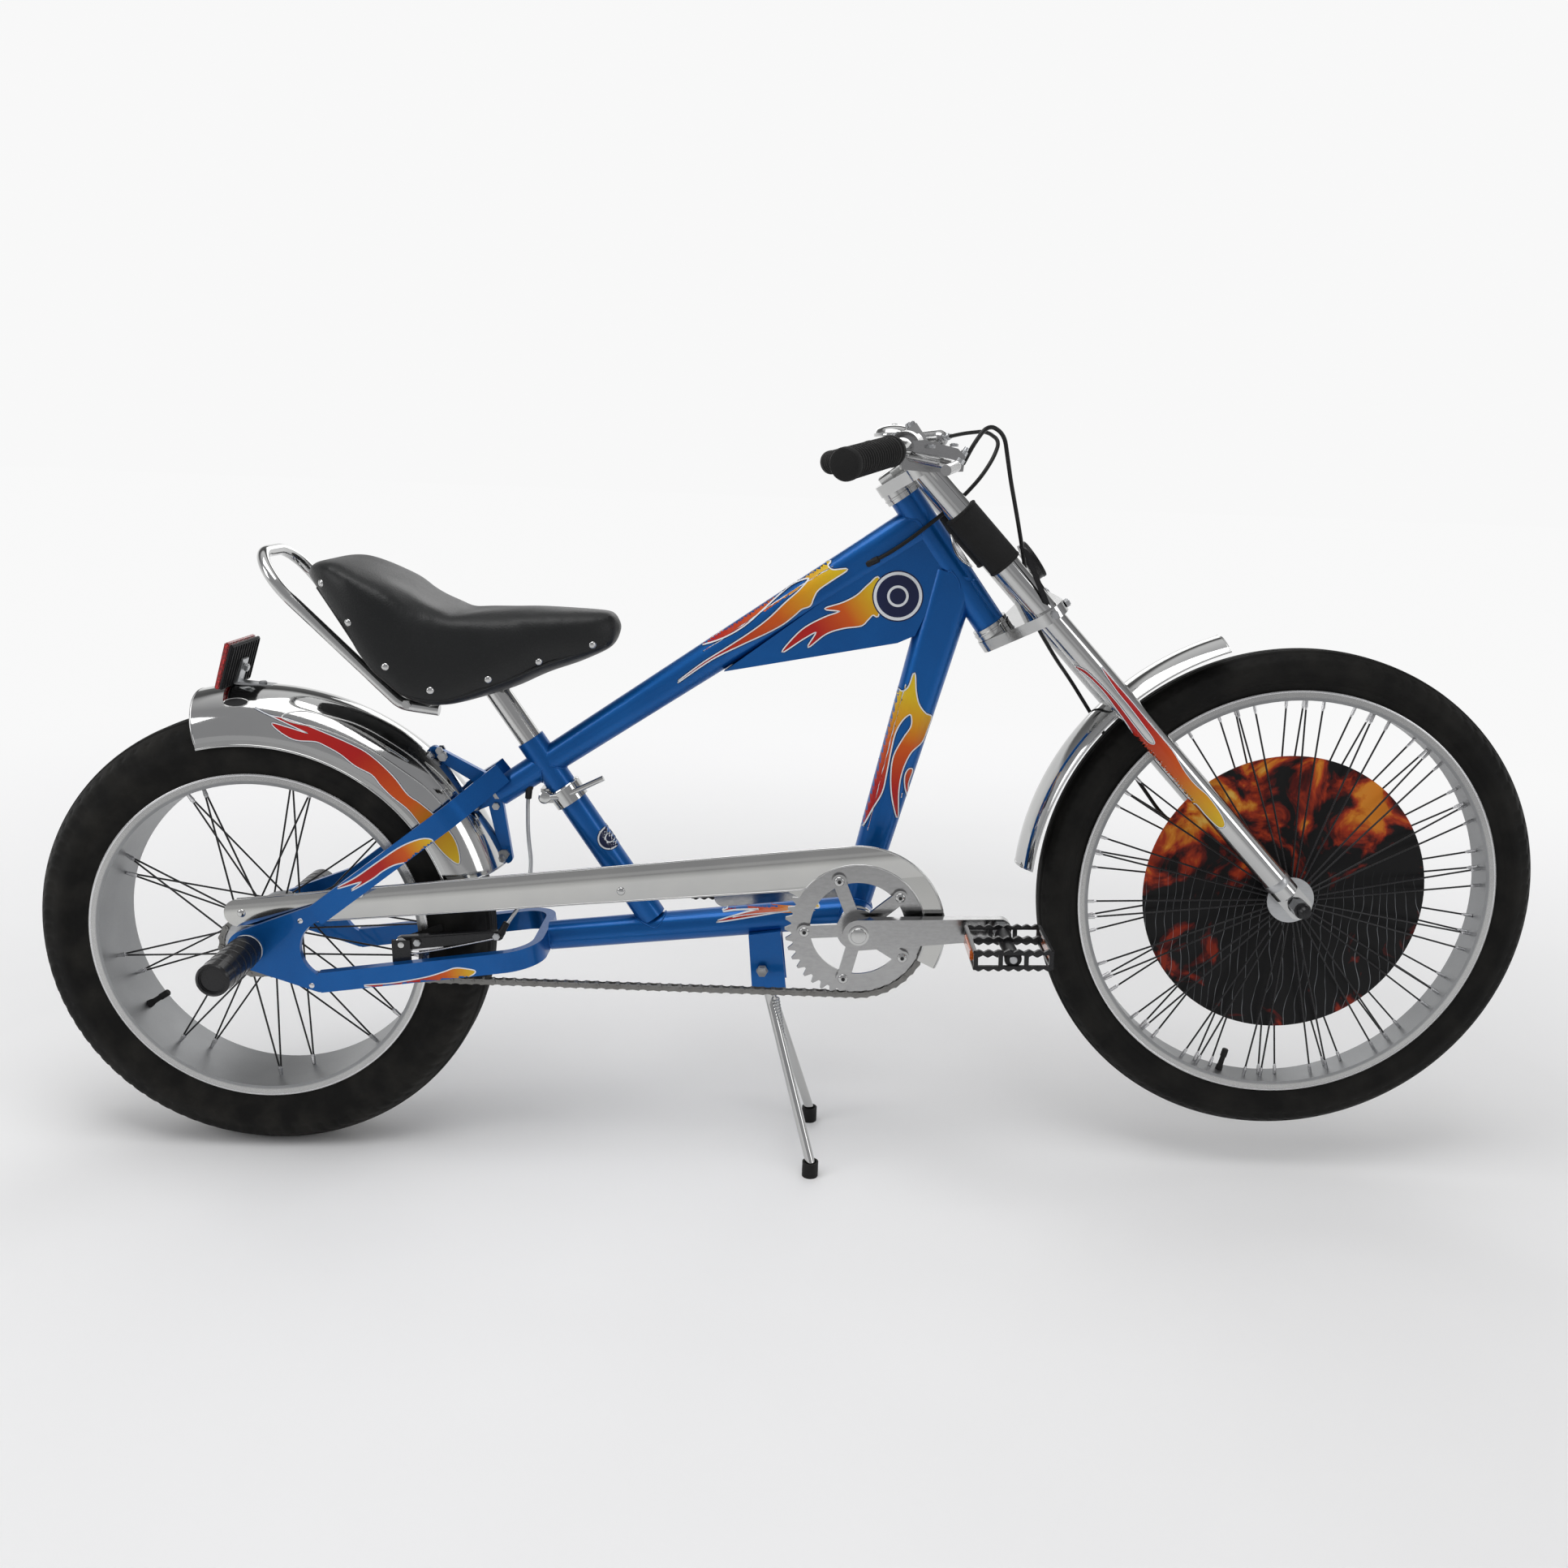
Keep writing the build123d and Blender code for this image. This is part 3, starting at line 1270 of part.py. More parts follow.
# Front brake cable: from the right lever over the bars and down between the legs to the hub brake
front_route = [
    (836, 574, -150),
    (848, 596, -146),
    (864, 616, -136),
    (884, 606, -118),
    (896, 556, -96),
    (908, 514, -76),
    (920, 472, -52),
    (932, 409, -36),
    (945, 382, -30),
    (974, 341, 4),
    (999, 311, 38),
    (1040, 249, 45),
    (1086, 189, 47),
    (1132, 126, 46),
    (1188, 100, 44),
]
with BuildPart() as front_brake_cable:
    add(cable("front_brake_cable", [at(x, z, y) for x, z, y in front_route]))
    add(brake_lever_right.part, mode=Mode.SUBTRACT)
    add(front_brake.part, mode=Mode.SUBTRACT)
    add(lower_clamp.part, mode=Mode.SUBTRACT)
front_brake_cable.part.label = "front_brake_cable"
export_step(front_brake_cable.part, "parts/front_brake_cable.step")

# Rear brake cable: from the left lever round in front of the head tube to the top tube's slot
rear_route = [
    (836, 604, 104),
    (862, 610, 62),
    (884, 612, 26),
    (896, 600, -2),
    (887, 581, -20),
    (872, 559, -29),
    (851, 536, -31),
    (826, 515, -31),
    (796, 491, -28),
    (768, 471, -24),
    (738, 455, -12),
]
with BuildPart() as rear_brake_cable:
    add(cable("rear_brake_cable", [at(x, z, y) for x, z, y in rear_route]))
    add(top_solid, mode=Mode.SUBTRACT)
    add(brake_lever_left.part, mode=Mode.SUBTRACT)
rear_brake_cable.part.label = "rear_brake_cable"
export_step(rear_brake_cable.part, "parts/rear_brake_cable.step")

# Rear brake's lower cable: out of the top tube's end, down to the right arm, and its wire across to the left arm
lower_route = [(331, 190, -6), (328, 166, -8), (329, 127, -20), (336, 92, -38), (331, 58, -54), (302, 17, -63)]
wire_place = (301.0, 14.0)
wire_radius = 1.2
with BuildPart() as rear_brake_wire:
    add(cable("rear_brake_wire", [at(x, z, y) for x, z, y in lower_route]))
    add(rod(at(*wire_place, -66), at(*wire_place, 66), wire_radius))
    add(top_solid, mode=Mode.SUBTRACT)
    add(rear_brake.part, mode=Mode.SUBTRACT)
rear_brake_wire.part.label = "rear_brake_wire"
export_step(rear_brake_wire.part, "parts/rear_brake_wire.step")

# Front reflector on the lower clamp
with BuildPart() as front_reflector:
    reflector_plane = Plane(
        origin=steer(149, 78), x_dir=(0, 1, 0), z_dir=steer(0, 1) - steer(0, 0)
    )
    with BuildSketch(reflector_plane):
        Circle(24)
    extrude(amount=9)
    with BuildSketch(steer_plane(lower_level)):
        with Locations((76, 0)):
            Rectangle(3, 16)
    extrude(amount=60)
    with BuildSketch(steer_plane(lower_level)):
        with Locations((62, 0)):
            Rectangle(31, 16)
    extrude(amount=3)
    add(lower_clamp.part, mode=Mode.SUBTRACT)
front_reflector.part.label = "front_reflector"
export_step(front_reflector.part, "parts/front_reflector.step")

# Front axle with its nuts
nut_plane = side(-fork_dropout_inner - fork_dropout_thickness, front_axle)
with BuildPart() as front_axle_bar:
    add(rod(at(*front_axle, -74), at(*front_axle, 74), front_axle_radius))
    with BuildSketch(nut_plane):
        RegularPolygon(10.5, 6)
    extrude(amount=9)
    with BuildSketch(side(fork_dropout_inner + fork_dropout_thickness + 9, front_axle)):
        RegularPolygon(10.5, 6)
    extrude(amount=9)
    add(fork_legs.part, mode=Mode.SUBTRACT)
front_axle_bar.part.label = "front_axle"
export_step(front_axle_bar.part, "parts/front_axle.step")
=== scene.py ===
import math
import bmesh
import bpy
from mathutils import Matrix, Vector
from mathutils.bvhtree import BVHTree


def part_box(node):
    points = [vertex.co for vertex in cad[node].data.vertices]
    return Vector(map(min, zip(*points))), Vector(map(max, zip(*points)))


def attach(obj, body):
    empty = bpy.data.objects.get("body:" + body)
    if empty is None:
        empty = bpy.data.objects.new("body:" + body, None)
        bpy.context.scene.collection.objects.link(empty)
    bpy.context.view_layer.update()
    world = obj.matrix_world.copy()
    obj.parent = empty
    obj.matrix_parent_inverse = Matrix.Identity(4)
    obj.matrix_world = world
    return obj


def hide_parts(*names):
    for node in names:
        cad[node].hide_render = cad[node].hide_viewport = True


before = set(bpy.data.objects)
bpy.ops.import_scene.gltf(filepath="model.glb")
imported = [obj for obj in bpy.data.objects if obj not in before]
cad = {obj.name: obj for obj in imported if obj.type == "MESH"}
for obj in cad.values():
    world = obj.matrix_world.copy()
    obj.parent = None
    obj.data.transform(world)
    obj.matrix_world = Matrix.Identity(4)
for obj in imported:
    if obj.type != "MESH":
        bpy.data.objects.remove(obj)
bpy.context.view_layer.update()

# Camera, floor and lights
# A plain pale studio: a floor that runs to the horizon, soft boxes overhead and at the sides,
# and the camera level with the seat on the drive side.
camera_data = bpy.data.cameras.new("camera")
camera_data.lens = 31.045
camera_data.sensor_width = 36.0
camera_data.shift_x = -0.0171
camera_data.shift_y = -0.0267
camera_data.clip_end = 60.0
camera = bpy.data.objects.new("camera", camera_data)
bpy.context.scene.collection.objects.link(camera)
camera.location = (-0.00933, -1.62414, 0.87991)
camera.rotation_euler = [math.radians(a) for a in (78.1758, -2.2441, -0.4871)]
bpy.context.scene.camera = camera


def soft_box(name, place, aim, width, height, power):
    """A rectangular lamp that faces a point"""
    lamp = bpy.data.lights.new(name, "AREA")
    lamp.shape = "RECTANGLE"
    lamp.size = width
    lamp.size_y = height
    lamp.energy = power
    holder = bpy.data.objects.new(name, lamp)
    bpy.context.scene.collection.objects.link(holder)
    holder.location = place
    holder.rotation_euler = (Vector(aim) - Vector(place)).to_track_quat("-Z", "Y").to_euler()


soft_box("lamp_overhead", (-0.4, -0.7, 3.0), (0.0, 0.0, 0.4), 2.6, 1.6, 38.0)
soft_box("lamp_left", (-2.8, -1.6, 1.7), (-0.2, 0.0, 0.4), 1.2, 1.6, 16.0)
soft_box("lamp_right", (2.9, -1.9, 1.4), (0.3, 0.0, 0.4), 1.0, 1.6, 12.0)
soft_box("lamp_far", (0.3, 2.9, 2.0), (0.0, 0.0, 0.4), 2.4, 1.2, 14.0)


class Finish:
    """A material under construction: its node tree, its shader and short ways to add and join nodes"""

    def __init__(self, name):
        self.material = bpy.data.materials.new(name)
        self.material.use_nodes = True
        self.tree = self.material.node_tree
        self.shader = self.tree.nodes["Principled BSDF"]

    def add(self, kind, settings=None, **inputs):
        node = self.tree.nodes.new(kind)
        for key, value in (settings or {}).items():
            setattr(node, key, value)
        for key, value in inputs.items():
            self.feed(node.inputs[key.replace("_", " ")], value)
        return node

    def feed(self, socket, value):
        if isinstance(value, bpy.types.NodeSocket):
            self.tree.links.new(value, socket)
        else:
            socket.default_value = value

    def math(self, operation, a, b=0.0, c=0.0):
        node = self.add("ShaderNodeMath", {"operation": operation})
        self.feed(node.inputs[0], a)
        self.feed(node.inputs[1], b)
        self.feed(node.inputs[2], c)
        return node.outputs[0]

    def mix(self, share, first, second):
        node = self.add("ShaderNodeMix", {"data_type": "RGBA"})
        self.feed(node.inputs["Factor"], share)
        self.feed(node.inputs["A"], first)
        self.feed(node.inputs["B"], second)
        return node.outputs["Result"]

    def span(self, value, low, high, to_low, to_high):
        node = self.add(
            "ShaderNodeMapRange", Value=value, From_Min=low, From_Max=high, To_Min=to_low, To_Max=to_high
        )
        return node.outputs["Result"]

    def ramp(self, value, stops, interpolation="LINEAR"):
        node = self.add("ShaderNodeValToRGB", Fac=value)
        node.color_ramp.interpolation = interpolation
        while len(node.color_ramp.elements) < len(stops):
            node.color_ramp.elements.new(0.5)
        for element, (place, colour) in zip(node.color_ramp.elements, stops):
            element.position = place
            element.color = colour
        return node.outputs["Color"]

    def place(self, centre=(0.0, 0.0, 0.0), turn=(0.0, 0.0, 0.0), scale=(1.0, 1.0, 1.0)):
        """Object coordinates moved to a centre, then turned and scaled"""
        where = self.add("ShaderNodeTexCoord").outputs["Object"]
        moved = self.add("ShaderNodeVectorMath", {"operation": "SUBTRACT"})
        self.feed(moved.inputs[0], where)
        moved.inputs[1].default_value = centre
        turned = self.add("ShaderNodeMapping", {"vector_type": "POINT"}, Vector=moved.outputs[0])
        turned.inputs["Rotation"].default_value = turn
        turned.inputs["Scale"].default_value = scale
        return turned.outputs["Vector"]

    def noise(self, scale, detail=3.0, vector=None, roughness=0.55):
        node = self.add("ShaderNodeTexNoise", Scale=scale, Detail=detail, Roughness=roughness)
        self.feed(node.inputs["Vector"], vector or self.place())
        return node.outputs["Fac"]

    def bump(self, height, distance, strength=1.0, normal=None):
        node = self.add("ShaderNodeBump", Height=height, Distance=distance, Strength=strength)
        if normal is not None:
            self.feed(node.inputs["Normal"], normal)
        self.feed(self.shader.inputs["Normal"], node.outputs["Normal"])
        return node.outputs["Normal"]

    def set(self, **inputs):
        for key, value in inputs.items():
            self.feed(self.shader.inputs[key.replace("_", " ")], value)


floor_finish = Finish("studio_floor")
spread = floor_finish.add(
    "ShaderNodeVectorMath", {"operation": "LENGTH"}, Vector=floor_finish.place()
).outputs["Value"]
far_share = floor_finish.span(spread, 1.2, 3.4, 0.0, 1.0)
near_tone = floor_finish.mix(floor_finish.noise(3.0), (0.90, 0.90, 0.90, 1), (0.93, 0.93, 0.93, 1))
depth = floor_finish.add("ShaderNodeSeparateXYZ", Vector=floor_finish.place()).outputs["Y"]
front_share = floor_finish.span(depth, -2.4, -0.9, 0.22, 1.0)
near_share = floor_finish.math("MULTIPLY", front_share, floor_finish.math("SUBTRACT", 1.0, far_share))
pale_share = floor_finish.math("MULTIPLY", front_share, far_share)
no_light = (0.0, 0.0, 0.0, 1)
rear_wall_grey = (0.38, 0.38, 0.39, 1)
floor_finish.set(
    Base_Color=floor_finish.mix(near_share, no_light, near_tone),
    Emission_Color=floor_finish.mix(
        pale_share, floor_finish.mix(far_share, no_light, rear_wall_grey), (0.945, 0.945, 0.945, 1)
    ),
    Emission_Strength=1.0,
    Roughness=0.8,
    Specular_IOR_Level=0.0,
)
floor_mesh = bpy.data.meshes.new("floor")
reach = 30.0
floor_corners = [(-reach, -reach, 0), (reach, -reach, 0), (reach, reach, 0), (-reach, reach, 0)]
floor_mesh.from_pydata(floor_corners, [], [(0, 1, 2, 3)])
floor_mesh.materials.append(floor_finish.material)
floor = bpy.data.objects.new("floor", floor_mesh)
bpy.context.scene.collection.objects.link(floor)

studio = bpy.data.worlds.new("studio")
studio.use_nodes = True
bpy.context.scene.world = studio
sky = studio.node_tree.nodes
join = studio.node_tree.links.new
direction = sky.new("ShaderNodeTexCoord")
parts = sky.new("ShaderNodeSeparateXYZ")
walls = sky.new("ShaderNodeValToRGB")
join(direction.outputs["Generated"], parts.inputs[0])
join(parts.outputs["Z"], walls.inputs["Fac"])
behind = sky.new("ShaderNodeMapRange")
shaded = sky.new("ShaderNodeMix")
shaded.data_type = "RGBA"
shaded.inputs["A"].default_value = rear_wall_grey
behind.inputs["From Min"].default_value = -0.35
behind.inputs["From Max"].default_value = 0.55
join(parts.outputs["Y"], behind.inputs["Value"])
join(behind.outputs["Result"], shaded.inputs["Factor"])
join(walls.outputs["Color"], shaded.inputs["B"])
join(shaded.outputs["Result"], sky["Background"].inputs["Color"])
stops = [(0.0, 0.94), (0.33, 0.94), (0.40, 0.20), (0.70, 0.10), (0.80, 0.85), (1.0, 1.0)]
while len(walls.color_ramp.elements) < len(stops):
    walls.color_ramp.elements.new(0.5)
for element, (place, level) in zip(walls.color_ramp.elements, stops):
    element.position = place
    element.color = (level, level, level, 1)
bpy.context.scene.view_settings.view_transform = "Standard"

# Frame
# Welded steel tubes: a tapered top tube, a head tube, a tapered down tube, a seat tube and a bottom tube,
# with a sheet gusset, sprayed in one metallic blue under a clear coat.


def axle_of(node):
    low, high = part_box(node)
    return (low + high) / 2


rear_axle = axle_of("rear_tyre")
front_axle = axle_of("front_tyre")
wheelbase, front_axle_rise = 1270.0, 46.6
axle_line_tilt = math.atan2(front_axle.z - rear_axle.z, front_axle.x - rear_axle.x)
bike_tilt = axle_line_tilt - math.atan2(front_axle_rise, wheelbase)
ahead = Vector((math.cos(bike_tilt), 0, math.sin(bike_tilt)))
upward = Vector((-math.sin(bike_tilt), 0, math.cos(bike_tilt)))
right, left = Vector((0, -1, 0)), Vector((0, 1, 0))
both_sides = ((-1, "right"), (1, "left"))


def sideways(y):
    """A step to the left, in metres"""
    return Vector((0, y, 0))


def outward(degrees):
    """The way out from an axle, at an angle up from straight ahead"""
    angle = math.radians(degrees)
    return ahead * math.cos(angle) + upward * math.sin(angle)


def bike(x, z, y=0.0):
    """A point x ahead of and z above the rear axle and y to the left, in the bike's own millimetres"""
    origin = Vector((rear_axle.x, 0, rear_axle.z))
    return origin + (ahead * x + upward * z) / 1000 + sideways(y / 1000)


def smudge_group():
    """Soft patches and fine specks, for handling marks and dust"""
    group = bpy.data.node_groups.new("smudges", "ShaderNodeTree")
    scale = group.interface.new_socket("Scale", in_out="INPUT", socket_type="NodeSocketFloat")
    scale.default_value = 14.0
    group.interface.new_socket("Patches", in_out="OUTPUT", socket_type="NodeSocketFloat")
    group.interface.new_socket("Specks", in_out="OUTPUT", socket_type="NodeSocketFloat")
    inward = group.nodes.new("NodeGroupInput")
    outward = group.nodes.new("NodeGroupOutput")
    where = group.nodes.new("ShaderNodeTexCoord")
    patches = group.nodes.new("ShaderNodeTexNoise")
    patches.inputs["Detail"].default_value = 4.0
    specks = group.nodes.new("ShaderNodeTexNoise")
    specks.inputs["Detail"].default_value = 2.0
    finer = group.nodes.new("ShaderNodeMath")
    finer.operation = "MULTIPLY"
    finer.inputs[1].default_value = 60.0
    link = group.links.new
    link(where.outputs["Object"], patches.inputs["Vector"])
    link(where.outputs["Object"], specks.inputs["Vector"])
    link(inward.outputs["Scale"], patches.inputs["Scale"])
    link(inward.outputs["Scale"], finer.inputs[0])
    link(finer.outputs[0], specks.inputs["Scale"])
    link(patches.outputs["Fac"], outward.inputs["Patches"])
    link(specks.outputs["Fac"], outward.inputs["Specks"])
    return group


smudges = smudge_group()


def smudged(finish, scale):
    node = finish.add("ShaderNodeGroup", {"node_tree": smudges}, Scale=scale)
    return node.outputs["Patches"], node.outputs["Specks"]


def paint():
    finish = Finish("metallic_blue_paint")
    patches, specks = smudged(finish, 9.0)
    flake = finish.add("ShaderNodeTexVoronoi", Scale=2600.0, Vector=finish.place())
    glint = finish.span(flake.outputs["Color"], 0.55, 1.0, 0.0, 1.0)
    body = finish.mix(
        finish.span(patches, 0.3, 0.7, 0.0, 1.0), (0.002, 0.078, 0.290, 1), (0.004, 0.105, 0.370, 1)
    )
    finish.set(
        Base_Color=finish.mix(finish.math("MULTIPLY", glint, 0.30), body, (0.02, 0.18, 0.50, 1)),
        Metallic=0.6,
        Roughness=finish.span(specks, 0.3, 0.7, 0.30, 0.40),
        Specular_IOR_Level=0.2,
        Coat_Weight=0.28,
        Coat_Roughness=0.05,
    )
    finish.bump(patches, 0.0006, 0.25)
    return finish.material


blue_paint = paint()


def wear(material, *nodes):
    """Puts a finish on CAD nodes"""
    for name in nodes:
        for index in range(max(1, len(cad[name].data.materials))):
            if len(cad[name].material_slots) == 0:
                cad[name].data.materials.append(material)
            cad[name].material_slots[index].material = material


wear(
    blue_paint, "head_tube", "top_tube", "gusset", "down_tube", "seat_tube", "bottom_tube",
    "bottom_bracket_shell",
    "seat_stays", "chain_stays", "stay_bridge", "dropouts", "fender_bracket", "stand_bracket",
)


def surface(*nodes):
    """The CAD nodes' faces, to be met by rays"""
    points, faces = [], []
    for name in nodes:
        start = len(points)
        points += [v.co.copy() for v in cad[name].data.vertices]
        faces += [[start + i for i in p.vertices] for p in cad[name].data.polygons]
    return BVHTree.FromPolygons(points, faces)


def shown(name, mesh, body, slot, replaces=()):
    """A finished mesh in the scene, riding on a body"""
    made = bpy.data.objects.new(name, mesh)
    bpy.context.scene.collection.objects.link(made)
    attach(made, body)
    if replaces:
        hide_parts(*replaces)
    return made


def piece(name, points, faces, material, body, slot, smooth=True, replaces=(), heat=None):
    """A piece from points that already stand in their place, and faces"""
    mesh = bpy.data.meshes.new(name)
    mesh.from_pydata([tuple(p) for p in points], [], faces)
    if smooth:
        mesh.polygons.foreach_set("use_smooth", [True] * len(mesh.polygons))
    if heat:
        mesh.attributes.new("burn", "FLOAT", "POINT").data.foreach_set("value", heat)
    mesh.materials.append(material)
    return shown(name, mesh, body, slot, replaces)


def rod(
    name, points, radius, material, body, slot, closed=False, kind="NURBS", sides=3, steps=8, replaces=()
):
    """A bent rod or wire along a smooth line"""
    curve = bpy.data.curves.new(name, "CURVE")
    curve.dimensions = "3D"
    curve.bevel_depth = radius
    curve.bevel_resolution = sides
    curve.use_fill_caps = True
    curve.resolution_u = steps
    spline = curve.splines.new(kind)
    spline.points.add(len(points) - 1)
    for point, co in zip(spline.points, points):
        point.co = (*co, 1)
    spline.use_cyclic_u = closed
    if kind == "NURBS":
        spline.order_u = 3
        spline.use_endpoint_u = not closed
    holder = bpy.data.objects.new(name, curve)
    mesh = bpy.data.meshes.new_from_object(holder)
    bpy.data.objects.remove(holder)
    points = [v.co.copy() for v in mesh.vertices]
    faces = [list(p.vertices) for p in mesh.polygons]
    bpy.data.meshes.remove(mesh)
    return piece(name, points, faces, material, body, slot, True, replaces)


def weld(name, start, end, radius, onto):
    """A weld bead where a round tube, from start towards end, meets another tube's surface"""
    bead_steps, bead_radius = 72, 0.0011
    target = surface(onto)
    line = (end - start).normalized()
    across = line.cross(left).normalized()
    bead = []
    for step in range(bead_steps):
        angle = 2 * math.pi * step / bead_steps
        off = (across * math.cos(angle) + left * math.sin(angle)) * radius
        hit = target.ray_cast(start + off, line)[0]
        if hit is None:
            continue
        bead.append(hit - line * 0.0004 + off.normalized() * 0.0002 * math.sin(step * 2.6))
    if len(bead) > 8:
        rod(name, bead, bead_radius, blue_paint, "frame", "blue_paint", closed=True, sides=2, steps=2)


for name, start, end, radius, onto in (
    ("top_tube", (700, 437), (807, 505), 0.0200, "head_tube"),
    ("down_tube", (790, 240), (847, 446), 0.0200, "head_tube"),
    ("seat_tube_top", (415, 112), (332, 242), 0.0178, "top_tube"),
    ("seat_tube_foot", (404, 129), (477, 14), 0.0178, "bottom_tube"),
    ("down_tube_foot", (790, 220), (733, 21), 0.0186, "bottom_bracket_shell"),
    ("bottom_tube_front", (650, 13), (733, 21), 0.0192, "bottom_bracket_shell"),
    ("bottom_tube_rear", (420, -4), (330, -13), 0.0178, "stay_bridge"),
):
    weld(f"weld_{name}", bike(*start), bike(*end), radius, onto)

# Chrome and alloy
# Chromed steel, polished and lightly handled: fenders, fork, clamps, post, sissy bar and stand. The cranks,
# ring and levers are forged alloy, and the axles, hubs and small nuts are zinc-plated steel.


def chrome():
    finish = Finish("chrome_plate")
    patches, specks = smudged(finish, 11.0)
    finish.set(
        Base_Color=finish.mix(patches, (0.47, 0.475, 0.48, 1), (0.60, 0.60, 0.585, 1)),
        Metallic=1.0,
        Roughness=finish.math(
            "ADD", finish.span(patches, 0.35, 0.75, 0.035, 0.11), finish.span(specks, 0.5, 0.8, 0.0, 0.05)
        ),
    )
    finish.bump(specks, 0.0002, 0.05)
    return finish.material


def alloy(name, colour, rough, grain):
    finish = Finish(name)
    patches, specks = smudged(finish, 16.0)
    lines = finish.noise(1.0, 2.0, finish.place(scale=grain))
    shade = finish.mix(patches, tuple(0.86 * c for c in colour) + (1,), colour + (1,))
    finish.set(
        Base_Color=finish.mix(
            finish.span(lines, 0.3, 0.7, 0.0, 0.25), shade, tuple(0.7 * c for c in colour) + (1,)
        ),
        Metallic=1.0,
        Roughness=finish.math(
            "ADD", finish.span(lines, 0.2, 0.8, rough - 0.06, rough + 0.06),
            finish.span(specks, 0.5, 0.8, 0, 0.08)
        ),
    )
    finish.bump(lines, 0.0002, 0.15)
    return finish.material


chrome_plate = chrome()
polished_alloy = alloy("polished_alloy", (0.74, 0.74, 0.75), 0.22, (60, 400, 400))
forged_alloy = alloy("forged_alloy", (0.43, 0.43, 0.43), 0.19, (120, 300, 300))
zinc_steel = alloy("zinc_plated_steel", (0.52, 0.53, 0.54), 0.34, (90, 90, 500))
wear(chrome_plate, "headset", "seat_clamp", "seat_post", "sissy_bar", "rear_fender", "front_fender")
wear(chrome_plate, "upper_clamp", "lower_clamp", "fork_legs", "risers", "handlebar", "stand_legs", "bell")
wear(
    zinc_steel, "rear_axle", "front_axle", "front_brake", "rear_hub", "front_hub", "rear_cog", "crank_spindle"
)
wear(forged_alloy, "crank_right", "crank_left", "chainring", "brake_lever_left", "brake_lever_right")

# Black fittings
# Black-painted steel for the pegs, brake arms and spokes, moulded rubber for the grips and feet,
# foam sleeves pushed over the fork legs, and plastic-jacketed brake cables.


def black(name, colour, rough, pore, depth, dust=0.0, coat=0.0):
    finish = Finish(name)
    patches, specks = smudged(finish, pore)
    shade = finish.mix(patches, tuple(0.7 * c for c in colour) + (1,), tuple(1.25 * c for c in colour) + (1,))
    finish.set(
        Base_Color=finish.mix(finish.span(patches, 0.45, 0.8, 0.0, dust), shade, (0.16, 0.15, 0.13, 1)),
        Roughness=finish.span(specks, 0.3, 0.7, rough - 0.08, rough + 0.1),
        Specular_IOR_Level=0.22,
        Coat_Weight=coat,
        Coat_Roughness=0.1,
    )
    finish.bump(specks, depth, 0.5)
    return finish.material


black_steel = black("black_painted_steel", (0.010, 0.010, 0.011), 0.3, 18.0, 0.0002, coat=0.3)
black_rubber = black("black_rubber", (0.010, 0.010, 0.010), 0.62, 26.0, 0.0004, dust=0.05)
black_plastic = black("black_moulded_plastic", (0.013, 0.013, 0.014), 0.42, 30.0, 0.0003)
cable_jacket = black("cable_jacket", (0.010, 0.010, 0.010), 0.28, 40.0, 0.0001)
foam_sleeve = black("foam_sleeve", (0.014, 0.014, 0.014), 0.8, 24.0, 0.0008)
wear(black_steel, "pegs", "rear_brake", "rear_spokes", "front_spokes", "rear_reflector", "front_reflector")
wear(black_rubber, "grips", "stand_feet")
wear(foam_sleeve, "leg_sleeves")
wear(cable_jacket, "rear_brake_cable", "front_brake_cable")

# Flame transfers
# Printed film under the clear coat on both sides of the frame, stays, fork and rear fender: a fill that runs
# from yellow to red, with a white line and a navy line round it.


def smooth_line(points, steps=5):
    """A closed line through given points"""
    count = len(points)
    line = []
    for i in range(count):
        a, b, c, d = (Vector(points[(i + k) % count]) for k in (-1, 0, 1, 2))
        for step in range(steps):
            t = step / steps
            bend, twist = 2 * a - 5 * b + 4 * c - d, 3 * b - a - 3 * c + d
            line.append(0.5 * (2 * b + (c - a) * t + bend * t * t + twist * t ** 3))
    return line


def transfer(name, stops, hot=None):
    finish = Finish(name)
    patches, specks = smudged(finish, 12.0)
    heat = finish.add("ShaderNodeAttribute", {"attribute_name": "burn"}).outputs["Fac"] if hot else patches
    finish.set(
        Base_Color=finish.ramp(finish.math("ADD", heat, finish.span(specks, 0, 1, -0.02, 0.02)), stops),
        Roughness=finish.span(specks, 0.3, 0.7, 0.30, 0.40),
        Specular_IOR_Level=0.2,
        Coat_Weight=0.28,
        Coat_Roughness=0.05,
    )
    return finish.material


flame_film = transfer(
    "flame_film",
    [
        (0.0, (0.66, 0.44, 0.012, 1)), (0.26, (0.62, 0.27, 0.008, 1)), (0.5, (0.56, 0.088, 0.006, 1)),
        (0.95, (0.40, 0.010, 0.008, 1))
    ],
    hot=True,
)
white_film = transfer("white_film", [(0.3, (0.66, 0.69, 0.72, 1)), (0.7, (0.76, 0.78, 0.80, 1))])
navy_film = transfer("navy_film", [(0.3, (0.004, 0.008, 0.040, 1)), (0.7, (0.006, 0.012, 0.060, 1))])


def laid(target, x, z, hand, lift):
    """A point of the side view brought onto a surface from one side"""
    start = bike(x, z, hand * 260)
    hit, normal, _, _ = target.ray_cast(start, sideways(-hand))
    if hit is None:
        hit, normal, _, _ = target.find_nearest(bike(x, z, hand * 30))
    if normal.y * hand < 0:
        normal = -normal
    return hit + normal * lift


def face_outwards(points, faces, hand):
    """Turns round the faces that look inwards from one side of the bike"""
    for index, face in enumerate(faces):
        a, b, c = (points[i] for i in face[:3])
        if (b - a).cross(c - a).y * hand < 0:
            faces[index] = list(reversed(face))


